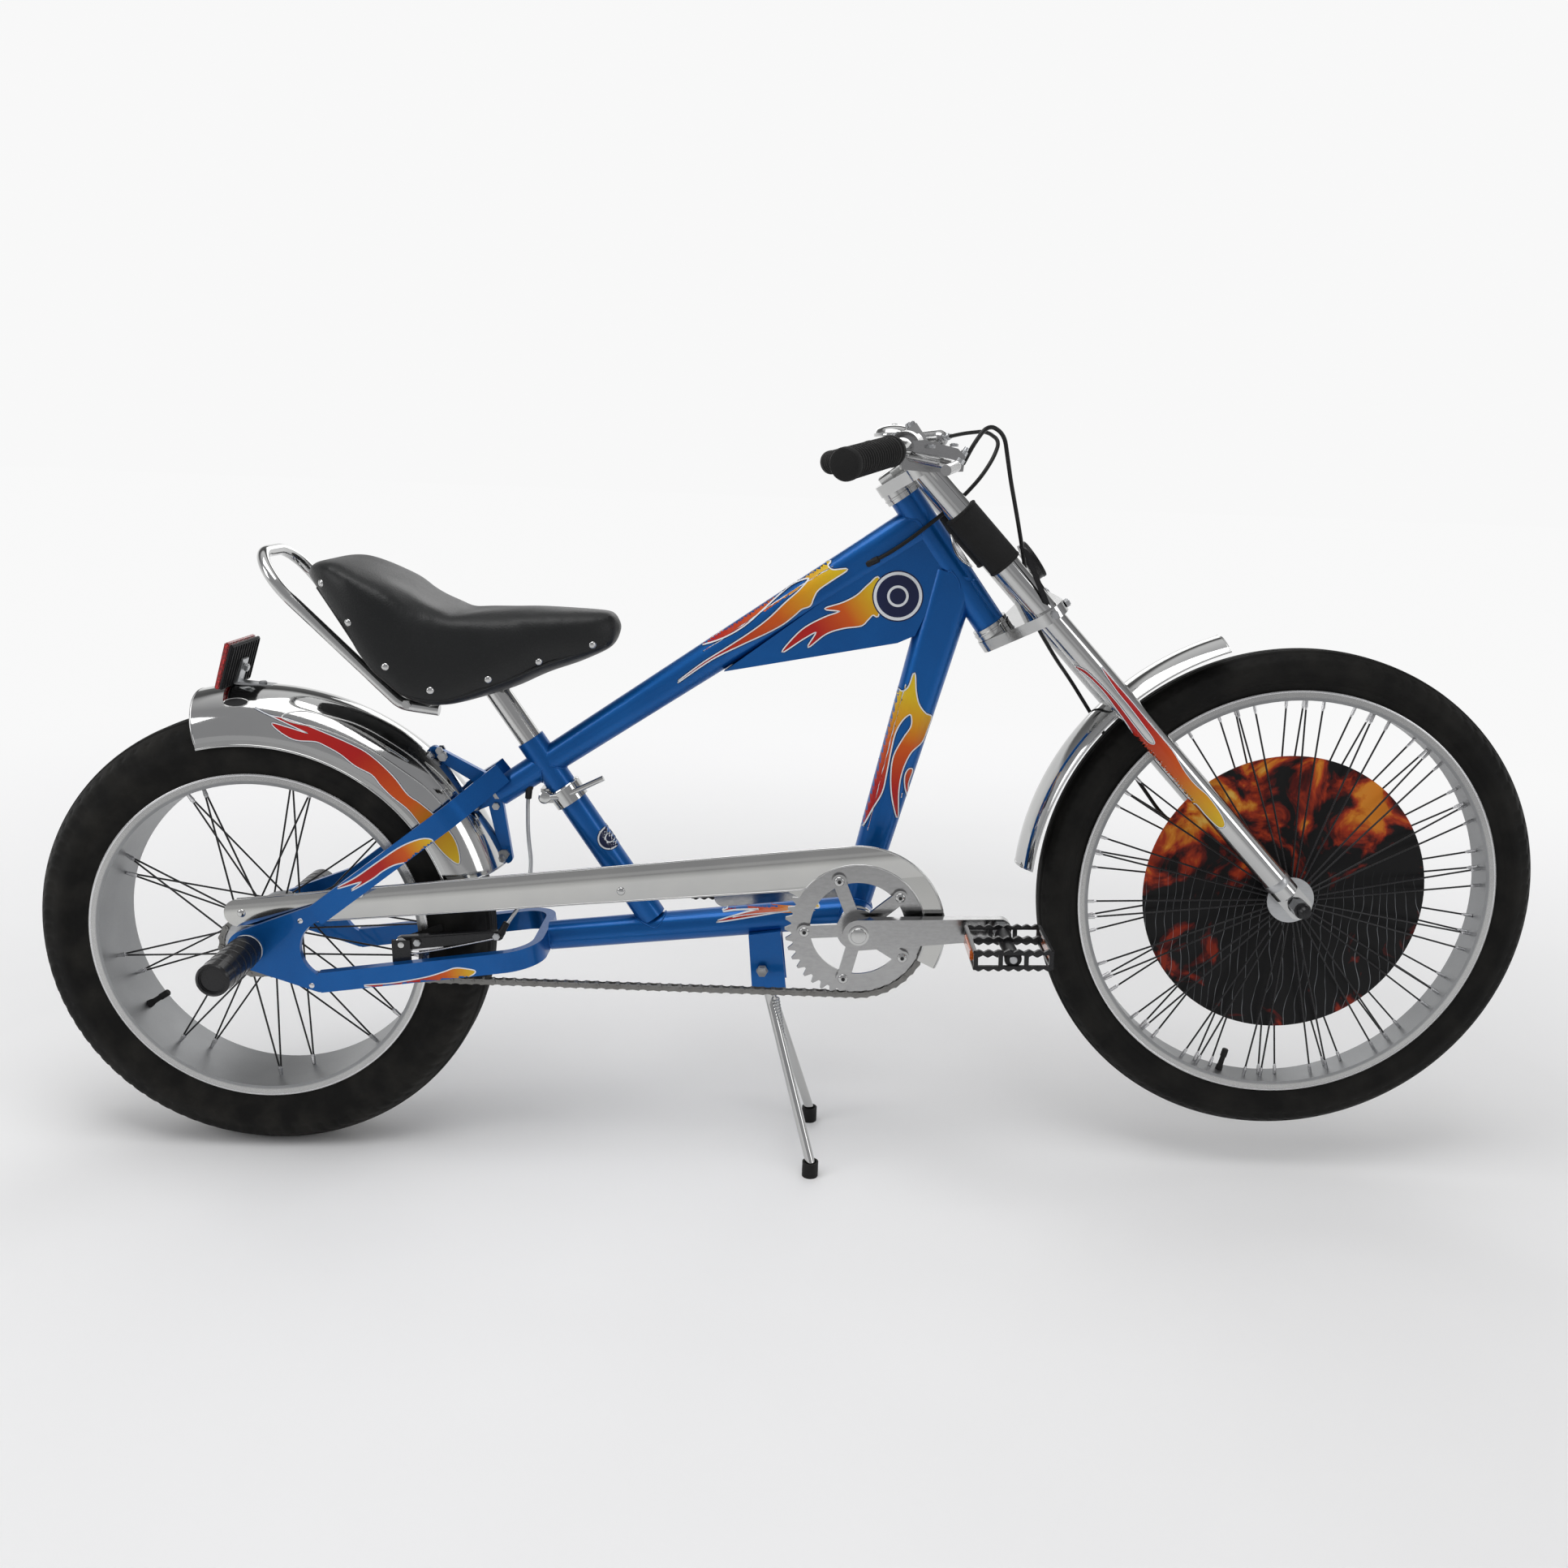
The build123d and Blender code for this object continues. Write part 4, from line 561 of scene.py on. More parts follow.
def film(name, line, nodes, hand, lift, material, body, spacing=2.6, heat=None):
    """A filled outline of the side view, cut fine and laid on a surface"""
    target = surface(*nodes)
    sheet = bmesh.new()
    corners = [sheet.verts.new((p.x, 0, p.y)) for p in line]
    edges = [sheet.edges.new((a, b)) for a, b in zip(corners, corners[1:] + corners[:1])]
    bmesh.ops.triangle_fill(sheet, use_beauty=True, use_dissolve=False, edges=edges)
    low = Vector((min(p.x for p in line), min(p.y for p in line)))
    high = Vector((max(p.x for p in line), max(p.y for p in line)))
    for axis in (0, 1):
        for step in range(1, int((high[axis] - low[axis]) / spacing) + 1):
            place = [0, 0, 0]
            way = [0, 0, 0]
            place[2 * axis] = low[axis] + step * spacing
            way[2 * axis] = 1
            geometry = sheet.verts[:] + sheet.edges[:] + sheet.faces[:]
            bmesh.ops.bisect_plane(sheet, geom=geometry, plane_co=place, plane_no=way, dist=0.01)
    sheet.verts.index_update()
    flat = [(v.co.x, v.co.z) for v in sheet.verts]
    faces = [[v.index for v in f.verts] for f in sheet.faces]
    sheet.free()
    points = [laid(target, x, z, hand, lift) for x, z in flat]
    face_outwards(points, faces, hand)
    shares = None
    if heat:
        (x0, z0), (x1, z1) = heat
        cool, run = Vector((x0, z0)), Vector((x1 - x0, z1 - z0))
        shares = [max(0.0, min(1.0, (Vector(p) - cool).dot(run) / run.length_squared)) for p in flat]
    return piece(name, points, faces, material, body, "blue_paint", heat=shares)


def outline_film(name, line, nodes, hand, inner, outer, lift, material, body):
    """A line of even width that follows an outline laid on a surface"""
    target = surface(*nodes)
    turn = sum(a.x * b.y - b.x * a.y for a, b in zip(line, line[1:] + line[:1]))
    sign = 1 if turn > 0 else -1
    points, faces = [], []
    count = len(line)
    for i, p in enumerate(line):
        run = line[(i + 1) % count] - line[i - 1]
        out = Vector((run.y, -run.x)).normalized() * sign if run.length > 1e-6 else Vector((0, 0))
        for reach in (inner, (inner + outer) / 2, outer):
            q = p + out * reach
            points.append(laid(target, q.x, q.y, hand, lift))
        j = (i + 1) % count
        faces += [[3 * i + k, 3 * i + k + 1, 3 * j + k + 1, 3 * j + k] for k in (0, 1)]
    face_outwards(points, faces, hand)
    return piece(name, points, faces, material, body, "blue_paint")


def flame(name, outline, nodes, heat, body="frame", white=1.3, navy=0.8, lift=0.00022):
    """A flame on both sides: fill, white line, navy line"""
    line = smooth_line(outline)
    overlap = 0.1
    white_lift, navy_lift = lift + 0.00012, lift + 0.00006
    for hand, word in both_sides:
        film(f"{name}_{word}", line, nodes, hand, lift, flame_film, body, heat=heat)
        outline_film(f"{name}_white_{word}", line, nodes, hand, -0.2, white, white_lift, white_film, body)
        if navy:
            start, end = white - overlap, white + navy
            outline_film(f"{name}_navy_{word}", line, nodes, hand, start, end, navy_lift, navy_film, body)


top_flame = [
    (697, 460), (695, 455), (701, 450), (718, 451), (701, 439), (684, 427), (678, 417), (674, 408),
    (664, 404), (656, 397),
    (642, 386), (622, 375), (592, 361), (556, 343), (515, 315), (545, 338), (575, 357), (604, 376),
    (625, 392), (645, 411),
    (662, 426), (673, 440), (655, 434), (638, 421), (619, 404), (596, 384), (570, 369), (543, 360),
    (568, 376), (593, 397),
    (617, 416), (641, 433), (668, 448),
]
flame("top_tube_flame", top_flame, ["top_tube", "gusset"], ((700, 450), (560, 350)))
gusset_flame = [
    (756, 440), (744, 433), (730, 420), (713, 411), (692, 404), (710, 401), (690, 393), (664, 378),
    (641, 352), (666, 368),
    (682, 376), (672, 358), (693, 374), (714, 381), (735, 384), (743, 391), (749, 397), (756, 398),
]
flame("gusset_flame", gusset_flame, ["gusset"], ((756, 420), (680, 372)))
down_flame = [
    (778, 315), (781, 307), (787, 304), (794, 311), (800, 327), (802, 305), (806, 289), (814, 278),
    (822, 272), (817, 256),
    (811, 242), (797, 229), (787, 206), (783, 180), (783, 146), (776, 172), (774, 200), (777, 225),
    (788, 247), (797, 261),
    (798, 272), (795, 277), (786, 269), (778, 253), (773, 231), (768, 203), (763, 180), (752, 159),
    (739, 134), (744, 166),
    (751, 197), (757, 231), (764, 261), (769, 286), (774, 303),
]
flame("down_tube_flame", down_flame, ["down_tube"], ((795, 300), (765, 180)))
bottom_flame = [
    (687, 31), (672, 30), (652, 27), (630, 24), (600, 19), (559, 13), (590, 22), (612, 27), (585, 26),
    (566, 24), (590, 30),
    (615, 33), (640, 35), (662, 37), (678, 37),
]
flame("bottom_tube_flame", bottom_flame, ["bottom_tube"], ((687, 31), (575, 20)), navy=0)
flame(
    "down_tube_lick", [(800, 206), (795, 208), (791, 199), (792, 184), (797, 170), (795, 189)], ["down_tube"],
    ((800, 250), (795, 180))
)
stay_flame = [
    (229, 137), (227, 130), (217, 120), (202, 112), (183, 107), (168, 99), (156, 90), (130, 75), (143, 86),
    (114, 78),
    (137, 91), (167, 112), (193, 129), (216, 138),
]
flame("seat_stay_flame", stay_flame, ["seat_stays"], ((230, 137), (165, 100)), navy=0)
flame("chain_stay_flame", [
    (272, -27), (262, -24), (248, -23), (234, -28), (211, -35), (173, -42), (138, -45), (157, -47),
    (182, -51), (211, -46),
    (223, -40), (248, -39), (263, -34),
], ["chain_stays"], ((275, -30), (200, -38)), navy=0)
fender_flame = [
    (18, 288), (35, 280), (54, 276), (76, 269), (103, 258), (127, 247), (147, 236), (165, 221), (181, 204),
    (195, 185),
    (210, 173), (231, 152), (248, 126), (252, 100), (238, 110), (223, 129), (209, 149), (195, 168),
    (178, 183), (165, 197),
    (155, 210), (136, 221), (119, 235), (102, 245), (90, 250), (68, 252), (52, 260), (40, 271), (59, 266),
    (82, 259), (59, 270),
]
flame("rear_fender_flame", fender_flame, ["rear_fender"], ((252, 100), (130, 240)), white=0.9, navy=0.5)
fork_flame = [
    (981, 344), (996, 334), (1015, 316), (1031, 296), (1048, 274), (1065, 249), (1084, 224), (1106, 198),
    (1124, 180),
    (1131, 174), (1133, 180), (1147, 165), (1161, 152), (1167, 155), (1161, 169), (1145, 190), (1128, 205),
    (1114, 222),
    (1101, 243), (1085, 262), (1068, 281), (1049, 303), (1027, 327), (1011, 344), (1030, 317), (1047, 297),
    (1063, 277),
    (1076, 260), (1078, 253), (1070, 256), (1052, 277), (1031, 303), (1010, 325), (993, 340),
]
flame(
    "fork_flame", fork_flame, ["fork_legs"], ((1165, 155), (1060, 285)), body="steering", white=0.8, navy=0.4
)


def ring_points(centre, radius, count=48):
    turns = [2 * math.pi * i / count for i in range(count)]
    return [Vector((centre[0] + radius * math.cos(a), centre[1] + radius * math.sin(a))) for a in turns]


def roundel(name, centre, radius, nodes):
    """A plain round mark: a navy disc between white rings"""
    rings = ((1.0, navy_film), (0.95, white_film), (0.83, navy_film), (0.42, white_film), (0.32, navy_film))
    for hand, word in both_sides:
        for layer, (share, shade) in enumerate(rings):
            line = ring_points(centre, radius * share)
            film(f"{name}_{layer}_{word}", line, nodes, hand, 0.0004 + 0.00012 * layer, shade, "frame")


roundel("gusset_roundel", (778.6, 419.2), 30.5, ["gusset", "top_tube", "down_tube"])
roundel("seat_tube_roundel", (428, 120), 15.0, ["seat_tube"])

# Head badge and small frame parts
# A plain stamped oval badge riveted to the front of the head tube, plugs in the dropouts' eyelets,
# the stand's pivot bolt and the fender bracket's bolts.


def scatter_tree(name, inputs, attribute, smooth, shape_on):
    """Geometry nodes that set a shape on each point, turned by a vector that the point carries"""
    tree = bpy.data.node_groups.new(name, "GeometryNodeTree")
    sockets = [("Geometry", "Geometry", "INPUT"), *((label, kind, "INPUT") for label, kind in inputs)]
    for label, kind, way in (*sockets, ("Finish", "Material", "INPUT"), ("Geometry", "Geometry", "OUTPUT")):
        tree.interface.new_socket(label, in_out=way, socket_type="NodeSocket" + kind)
    add, link = tree.nodes.new, tree.links.new
    inward, end = add("NodeGroupInput"), add("NodeGroupOutput")
    carried = add("GeometryNodeInputNamedAttribute")
    carried.data_type = "FLOAT_VECTOR"
    carried.inputs["Name"].default_value = attribute
    shape, turn = shape_on(add, link, inward.outputs, carried.outputs["Attribute"])
    scatter, solid = add("GeometryNodeInstanceOnPoints"), add("GeometryNodeRealizeInstances")
    shade, clothe = add("GeometryNodeSetShadeSmooth"), add("GeometryNodeSetMaterial")
    shade.inputs["Shade Smooth"].default_value = smooth
    link(inward.outputs["Geometry"], scatter.inputs["Points"])
    link(shape, scatter.inputs["Instance"])
    link(turn, scatter.inputs["Rotation"])
    link(scatter.outputs["Instances"], solid.inputs["Geometry"])
    link(solid.outputs["Geometry"], shade.inputs["Geometry"])
    link(shade.outputs["Geometry"], clothe.inputs["Geometry"])
    link(inward.outputs["Finish"], clothe.inputs["Material"])
    link(clothe.outputs["Geometry"], end.inputs["Geometry"])
    return tree


def heads_tree(name, sides, domed):
    """Bolt or rivet heads that look along each point's own direction"""

    def head_on(add, link, given, way):
        def scaled(operation, first, second):
            node = add("ShaderNodeMath")
            node.operation = operation
            link(first, node.inputs[0])
            if isinstance(second, float):
                node.inputs[1].default_value = second
            else:
                link(second, node.inputs[1])
            return node.outputs[0]

        def moved(mesh, socket, height, flat):
            both = add("ShaderNodeCombineXYZ")
            both.inputs["X"].default_value = both.inputs["Y"].default_value = flat
            link(height, both.inputs["Z"])
            node = add("GeometryNodeTransform")
            link(mesh, node.inputs["Geometry"])
            link(both.outputs[0], node.inputs[socket])
            return node.outputs["Geometry"]

        turn = add("FunctionNodeAlignRotationToVector")
        turn.axis = "Z"
        link(way, turn.inputs["Vector"])
        if domed:
            head = add("GeometryNodeMeshUVSphere")
            head.inputs["Segments"].default_value = sides
            head.inputs["Rings"].default_value = 10
            link(given["Radius"], head.inputs["Radius"])
            share = scaled("DIVIDE", given["Height"], given["Radius"])
            return moved(head.outputs["Mesh"], "Scale", share, 1.0), turn.outputs["Rotation"]
        joined = add("GeometryNodeJoinGeometry")
        round_sides, round_share, round_height = 20, 0.72, 1.25
        for count, share, tall in ((sides, 1.0, 1.0), (round_sides, round_share, round_height)):
            head = add("GeometryNodeMeshCylinder")
            head.inputs["Vertices"].default_value = count
            link(scaled("MULTIPLY", given["Radius"], share), head.inputs["Radius"])
            depth = scaled("MULTIPLY", given["Height"], tall)
            link(depth, head.inputs["Depth"])
            raised = moved(head.outputs["Mesh"], "Translation", scaled("MULTIPLY", depth, 0.5), 0.0)
            link(raised, joined.inputs["Geometry"])
        return joined.outputs["Geometry"], turn.outputs["Rotation"]

    return scatter_tree(name, (("Radius", "Float"), ("Height", "Float")), "facing", domed, head_on)


rivet_heads = heads_tree("rivet_heads", 18, True)
bolt_heads = heads_tree("bolt_heads", 6, False)


def finished(holder):
    """A plain mesh of an object with its modifiers carried out"""
    return bpy.data.meshes.new_from_object(holder.evaluated_get(bpy.context.evaluated_depsgraph_get()))


def scattered(name, points, attribute, vectors, tree, **inputs):
    """Points that each carry a vector, taken through a geometry node tree, as one plain mesh"""
    mesh = bpy.data.meshes.new(name + "_points")
    mesh.from_pydata([tuple(p) for p in points], [], [])
    carried = mesh.attributes.new(attribute, "FLOAT_VECTOR", "POINT")
    carried.data.foreach_set("vector", [number for vector in vectors for number in vector])
    holder = bpy.data.objects.new(name + "_points", mesh)
    bpy.context.scene.collection.objects.link(holder)
    modifier = holder.modifiers.new("scatter", "NODES")
    modifier.node_group = tree
    sockets = {item.name: item.identifier for item in tree.interface.items_tree if item.in_out == "INPUT"}
    for label, value in inputs.items():
        modifier[sockets[label]] = value
    bpy.context.view_layer.update()
    final = finished(holder)
    bpy.data.objects.remove(holder)
    if not len(final.materials):
        final.materials.append(inputs["Finish"])
    return final


def heads(name, places, tree, radius, height, material, body, slot):
    """Heads at (point, direction) places, as one plain mesh"""
    points, ways = [p for p, _ in places], [way.normalized() for _, way in places]
    mesh = scattered(name, points, "facing", ways, tree, Radius=radius, Height=height, Finish=material)
    return shown(name, mesh, body, slot)


heads(
    "frame_bolts",
    [
        (bike(616, -46, -34), right), (bike(616, -46, 34), left), (bike(226, 221, -4), right),
        (bike(296, 97, -4), right)
    ],
    bolt_heads, 0.0065, 0.0045, zinc_steel, "frame", "steel",
)
heads(
    "dropout_plugs",
    [(bike(x, z, hand * 82), sideways(hand)) for x, z in ((66, 36), (74, -46)) for hand in (-1, 1)],
    rivet_heads, 0.0034, 0.0012, polished_alloy, "frame", "alloy",
)
badge_centre = bike(838, 461)
steer_top = bike(786, 536)
steer_down = (bike(890, 386) - steer_top).normalized()
badge_front = left.cross(steer_down).normalized()
if badge_front.x < 0:
    badge_front = -badge_front
badge_sides, badge_height, badge_width, head_radius = 40, 0.048, 0.031, 0.0192
badge_points, badge_faces = [], []
for layer, (share, lift) in enumerate(
    ((1.0, 0.0), (1.0, 0.0012), (0.9, 0.0017), (0.8, 0.0010), (0.0, 0.0016))
):
    for i in range(badge_sides):
        a = 2 * math.pi * i / badge_sides
        down, side = badge_height / 2 * share * math.cos(a), badge_width / 2 * share * math.sin(a)
        wrap = math.sqrt(max(0.0, head_radius ** 2 - side ** 2))
        badge_points.append(badge_centre + steer_down * down + sideways(side) + badge_front * (wrap + lift))
    if layer:
        for i in range(badge_sides):
            a, b = (layer - 1) * badge_sides + i, (layer - 1) * badge_sides + (i + 1) % badge_sides
            badge_faces.append((a, b, b + badge_sides, a + badge_sides))
piece("head_badge", badge_points, badge_faces, polished_alloy, "frame", "alloy")

# Tyres
# Moulded black rubber: a balloon tyre behind and a narrow one in front, each with a ribbed crown,
# short shoulder blocks, two rims on the wall and a bead that sits in the wheel rim.


def tyre(name, node, axle, middle, widest, bead_angle, grooves, blocks, body, material):
    """A ring of rubber that follows the tyre's own section, cut by grooves; sizes in metres"""
    target = surface(node)
    section = []
    count = 84
    for step in range(count + 1):
        angle = math.radians(bead_angle) * (2 * step / count - 1)
        way = Vector((math.cos(angle), math.sin(angle), 0))
        core = axle + Vector((middle, 0, 0))
        hit = target.ray_cast(core + way * 0.09, -way)[0]
        section.append((angle, (hit - core).length if hit else 0.04))
    for _ in range(5):
        reach = [r for _, r in section]
        section = [
            (a, (reach[max(i - 1, 0)] + 2 * reach[i] + reach[min(i + 1, count)]) / 4)
            for i, (a, _) in enumerate(section)
        ]
    turns = 3 * blocks * 2
    points, faces = [], []
    for turn in range(turns):
        around = 2 * math.pi * turn / turns
        for angle, reach in section:
            side, out = reach * math.sin(angle), reach * math.cos(angle)
            share = abs(side) / widest
            cut = 0.0
            if out > 0:
                cut += sum(0.0012 for g in grooves if abs(share - g) < 0.026)
                shift = (turn + (3 if side > 0 else 0) + int(share * 5)) % 6
                if 0.60 < share < 0.93 and shift in (0, 1):
                    cut += 0.0010
            elif any(abs(abs(math.degrees(angle)) - wall_rib) < 2.4 for wall_rib in (104, 122)):
                cut -= 0.0006
            radius = middle + out - cut * math.cos(angle) if out > 0 else middle + out
            place = side - math.copysign(cut * abs(math.sin(angle)), side)
            points.append(axle + Vector((radius * math.cos(around), place, radius * math.sin(around))))
    row = len(section)
    for turn in range(turns):
        following = (turn + 1) % turns
        for i in range(row):
            j = (i + 1) % row
            faces.append((turn * row + i, turn * row + j, following * row + j, following * row + i))
    return piece(name, points, faces, material, body, "tyre", replaces=(node,))


def rubber(name, dust):
    finish = Finish(name)
    patches, specks = smudged(finish, 22.0)
    where = finish.add("ShaderNodeSeparateXYZ", Vector=finish.place())
    shade = finish.mix(patches, (0.0045, 0.0045, 0.0042, 1), (0.0095, 0.0092, 0.0086, 1))
    grit = finish.math(
        "MULTIPLY", finish.span(patches, 0.42, 0.72, 0.0, dust), finish.span(specks, 0.35, 0.6, 0.3, 1.0)
    )
    low = finish.span(where.outputs["Z"], 0.0, 0.12, 1.6, 1.0)
    finish.set(
        Base_Color=finish.mix(finish.math("MULTIPLY", grit, low), shade, (0.042, 0.039, 0.033, 1)),
        Roughness=finish.span(specks, 0.3, 0.7, 0.52, 0.74),
        Specular_IOR_Level=0.12,
    )
    finish.bump(specks, 0.00035, 0.45)
    return finish.material


rear_rubber = rubber("rear_tyre_rubber", 0.42)
front_rubber = rubber("front_tyre_rubber", 0.22)
tyre(
    "rear_tyre_tread", "rear_tyre", rear_axle, 0.238, 0.0525, 131.5, (0.10, 0.26, 0.42), 90, "rear_wheel",
    rear_rubber
)
tyre(
    "front_tyre_tread", "front_tyre", front_axle, 0.283, 0.0280, 149.0, (0.16, 0.44), 96, "front_wheel",
    front_rubber
)

# Wheels
# Bare alloy rims with rolled edges, black wire spokes in silver nipples, turned hubs with axle nuts
# and a rubber valve stem with its cap.


def lathe(name, start, way, outline, material, body, slot, sides=32, replaces=()):
    """A turned piece: outline pairs (distance along, radius) in metres from start along way"""
    way = way.normalized()
    across = way.cross(Vector((0, 0, 1)) if abs(way.z) < 0.9 else Vector((1, 0, 0))).normalized()
    other = way.cross(across)
    points, faces = [], []
    for along, radius in outline:
        for i in range(sides):
            a = 2 * math.pi * i / sides
            points.append(start + way * along + (across * math.cos(a) + other * math.sin(a)) * radius)
    for layer in range(len(outline) - 1):
        for i in range(sides):
            j = (i + 1) % sides
            a, b = layer * sides, (layer + 1) * sides
            faces.append((a + i, a + j, b + j, b + i))
    faces.append(tuple(reversed(range(sides))))
    faces.append(tuple(range((len(outline) - 1) * sides, len(outline) * sides)))
    made = piece(name, points, faces, material, body, slot, True, replaces)
    corners = bmesh.new()
    corners.from_mesh(made.data)
    bmesh.ops.recalc_face_normals(corners, faces=corners.faces)
    for edge in corners.edges:
        if len(edge.link_faces) == 2 and edge.calc_face_angle(0.0) > 0.6:
            edge.smooth = False
    corners.to_mesh(made.data)
    corners.free()
    return made


def rim_alloy(name, axle, edge):
    """Bare alloy, bright on the turned side walls and satin on the barrel between them"""
    finish = Finish(name)
    patches, specks = smudged(finish, 16.0)
    parts = finish.add("ShaderNodeSeparateXYZ", Vector=finish.place(centre=tuple(axle)))
    squares = [finish.math("POWER", parts.outputs[axis], 2.0) for axis in "XZ"]
    radius = finish.math("SQRT", finish.math("ADD", *squares))
    wall = finish.span(radius, edge - 0.0095, edge - 0.0075, 0.0, 1.0)
    barrel = finish.mix(patches, (0.25, 0.255, 0.26, 1), (0.36, 0.365, 0.37, 1))
    turned = finish.mix(patches, (0.43, 0.43, 0.43, 1), (0.52, 0.52, 0.51, 1))
    finish.set(
        Base_Color=finish.mix(wall, barrel, turned),
        Metallic=1.0,
        Roughness=finish.math(
            "ADD", finish.span(wall, 0.0, 1.0, 0.42, 0.24), finish.span(specks, 0.4, 0.8, 0.0, 0.10)
        ),
    )
    finish.bump(specks, 0.0002, 0.15)
    return finish.material


rear_rim_alloy = rim_alloy("rear_rim_alloy", rear_axle, 0.2075)
front_rim_alloy = rim_alloy("front_rim_alloy", front_axle, 0.2609)
wear(rear_rim_alloy, "rear_rim")
wear(front_rim_alloy, "front_rim")


def ring(axle, radius, y, count=72):
    turns = [2 * math.pi * i / count for i in range(count)]
    return [axle + Vector((radius * math.cos(a), y, radius * math.sin(a))) for a in turns]


for hand, word in both_sides:
    for end, axle, radius, y, wire in (
        ("rear", rear_axle, 0.2062, 0.0427, 0.0021), ("front", front_axle, 0.2597, 0.0170, 0.0018),
    ):
        line = ring(axle, radius, hand * y)
        rod(
            f"{end}_rim_edge_{word}", line, wire, polished_alloy, f"{end}_wheel", "alloy", closed=True,
            steps=3
        )


def nipples(name, axle, count, flange, offset, bed, rim_offset, lean, body):
    """Nipples on the spokes' outer ends, each along its own spoke"""
    places = []
    for index in range(count):
        angle = 360.0 * index / count
        hand = 1 if index % 2 else -1
        turn = lean if index % 4 < 2 else -lean
        start = axle + outward(angle) * flange + sideways(hand * offset)
        end = axle + outward(angle + turn) * bed + sideways(hand * rim_offset)
        places.append((end, start - end))
    heads(name, places, nipple_heads, 0.0021, 0.0105, polished_alloy, body, "alloy")


nipple_heads = heads_tree("nipple_heads", 10, False)
nipples("rear_nipples", rear_axle, 36, 0.0325, 0.040, 0.1947, 0.012, 30.0, "rear_wheel")
nipples("front_nipples", front_axle, 72, 0.0275, 0.030, 0.2481, 0.004, 2.5, "front_wheel")
valve_way = (ahead * -149 + upward * -94).normalized()
lathe(
    "rear_valve", rear_axle + valve_way * 0.1955, -valve_way,
    [
        (0, 0.0052), (0.004, 0.0048), (0.008, 0.0036), (0.018, 0.0033), (0.0185, 0.0042), (0.030, 0.0042),
        (0.031, 0.0034)
    ],
    black_rubber, "rear_wheel", "rubber", 20,
)
front_valve_way = (ahead * -60 + upward * -225).normalized()
lathe(
    "front_valve", front_axle + front_valve_way * 0.2482, -front_valve_way,
    [
        (0, 0.0046), (0.004, 0.0043), (0.008, 0.0034), (0.018, 0.0032), (0.0185, 0.0040), (0.028, 0.0040),
        (0.029, 0.0032)
    ],
    black_rubber, "front_wheel", "rubber", 20,
)
for hand, word in both_sides:
    lathe(
        f"rear_hub_ring_{word}", rear_axle + sideways(hand * 0.026), sideways(hand),
        [(0, 0.0215), (0.001, 0.0232), (0.004, 0.0232), (0.0055, 0.0215)], polished_alloy, "rear_wheel",
        "alloy",
    )
    lathe(
        f"front_nut_{word}", front_axle + sideways(hand * 0.0715), sideways(hand),
        [
            (0, 0.0100), (0.0025, 0.0100), (0.0035, 0.0082), (0.0100, 0.0078), (0.0125, 0.0055),
            (0.0132, 0.0018)
        ],
        black_steel, "steering", "black_paint", 24,
    )

# Wheel card
# A thin card disc behind the right-hand spokes, printed black with a burst of fire on its upper half
# and loose silver lines across its lower half.


def card():
    finish = Finish("printed_card")
    patches, specks = smudged(finish, 30.0)
    where = finish.place(centre=tuple(front_axle))
    parts = finish.add("ShaderNodeSeparateXYZ", Vector=where)
    twist = finish.add("ShaderNodeTexNoise", Scale=7.0, Detail=2.0, Vector=where).outputs["Color"]
    bent = finish.add("ShaderNodeVectorMath", {"operation": "MULTIPLY_ADD"})
    finish.feed(bent.inputs[0], twist)
    bent.inputs[1].default_value = (0.22, 0.22, 0.22)
    finish.feed(bent.inputs[2], where)
    fire = finish.add(
        "ShaderNodeTexNoise", Scale=17.0, Detail=5.0, Roughness=0.55, Vector=bent.outputs[0]
    ).outputs["Fac"]
    leftward = finish.span(parts.outputs["X"], -0.16, 0.20, 1.0, 0.25)
    raised = finish.span(parts.outputs["Z"], -0.06, 0.09, 0.0, 1.0)
    field = finish.math("MULTIPLY", leftward, raised)
    strength = finish.math(
        "ADD", finish.math("MULTIPLY", field, 0.66), finish.span(fire, 0.38, 0.66, -0.34, 0.50)
    )
    burn = finish.ramp(strength, [
        (0.0, (0.0035, 0.0035, 0.004, 1)), (0.30, (0.0035, 0.0035, 0.004, 1)),
        (0.42, (0.09, 0.006, 0.004, 1)), (0.60, (0.38, 0.035, 0.008, 1)),
        (0.80, (0.62, 0.20, 0.015, 1)), (1.0, (0.70, 0.42, 0.08, 1)),
    ])
    streams = finish.add(
        "ShaderNodeTexWave", Scale=13.0, Distortion=6.5, Detail=1.5, Detail_Scale=0.8, Vector=where
    )
    thin = finish.span(
        finish.math("ABSOLUTE", finish.math("SUBTRACT", streams.outputs["Fac"], 0.5)), 0.0, 0.055, 1.0, 0.0
    )
    lower = finish.span(parts.outputs["Z"], 0.035, -0.02, 0.0, 1.0)
    lines = finish.math(
        "MULTIPLY", finish.math("MULTIPLY", thin, lower), finish.span(patches, 0.4, 0.6, 0.25, 0.85)
    )
    finish.set(
        Base_Color=finish.mix(lines, burn, (0.34, 0.36, 0.38, 1)),
        Roughness=finish.span(specks, 0.3, 0.7, 0.36, 0.52),
        Specular_IOR_Level=0.2,
    )
    finish.bump(patches, 0.0008, 0.3)
    return finish.material


printed_card = card()
wear(printed_card, "wheel_card")

# Chain
# A half-inch roller chain of plain steel, dulled by oil: pairs of waisted plates on rollers, the pairs
# lying outside and inside in turn.


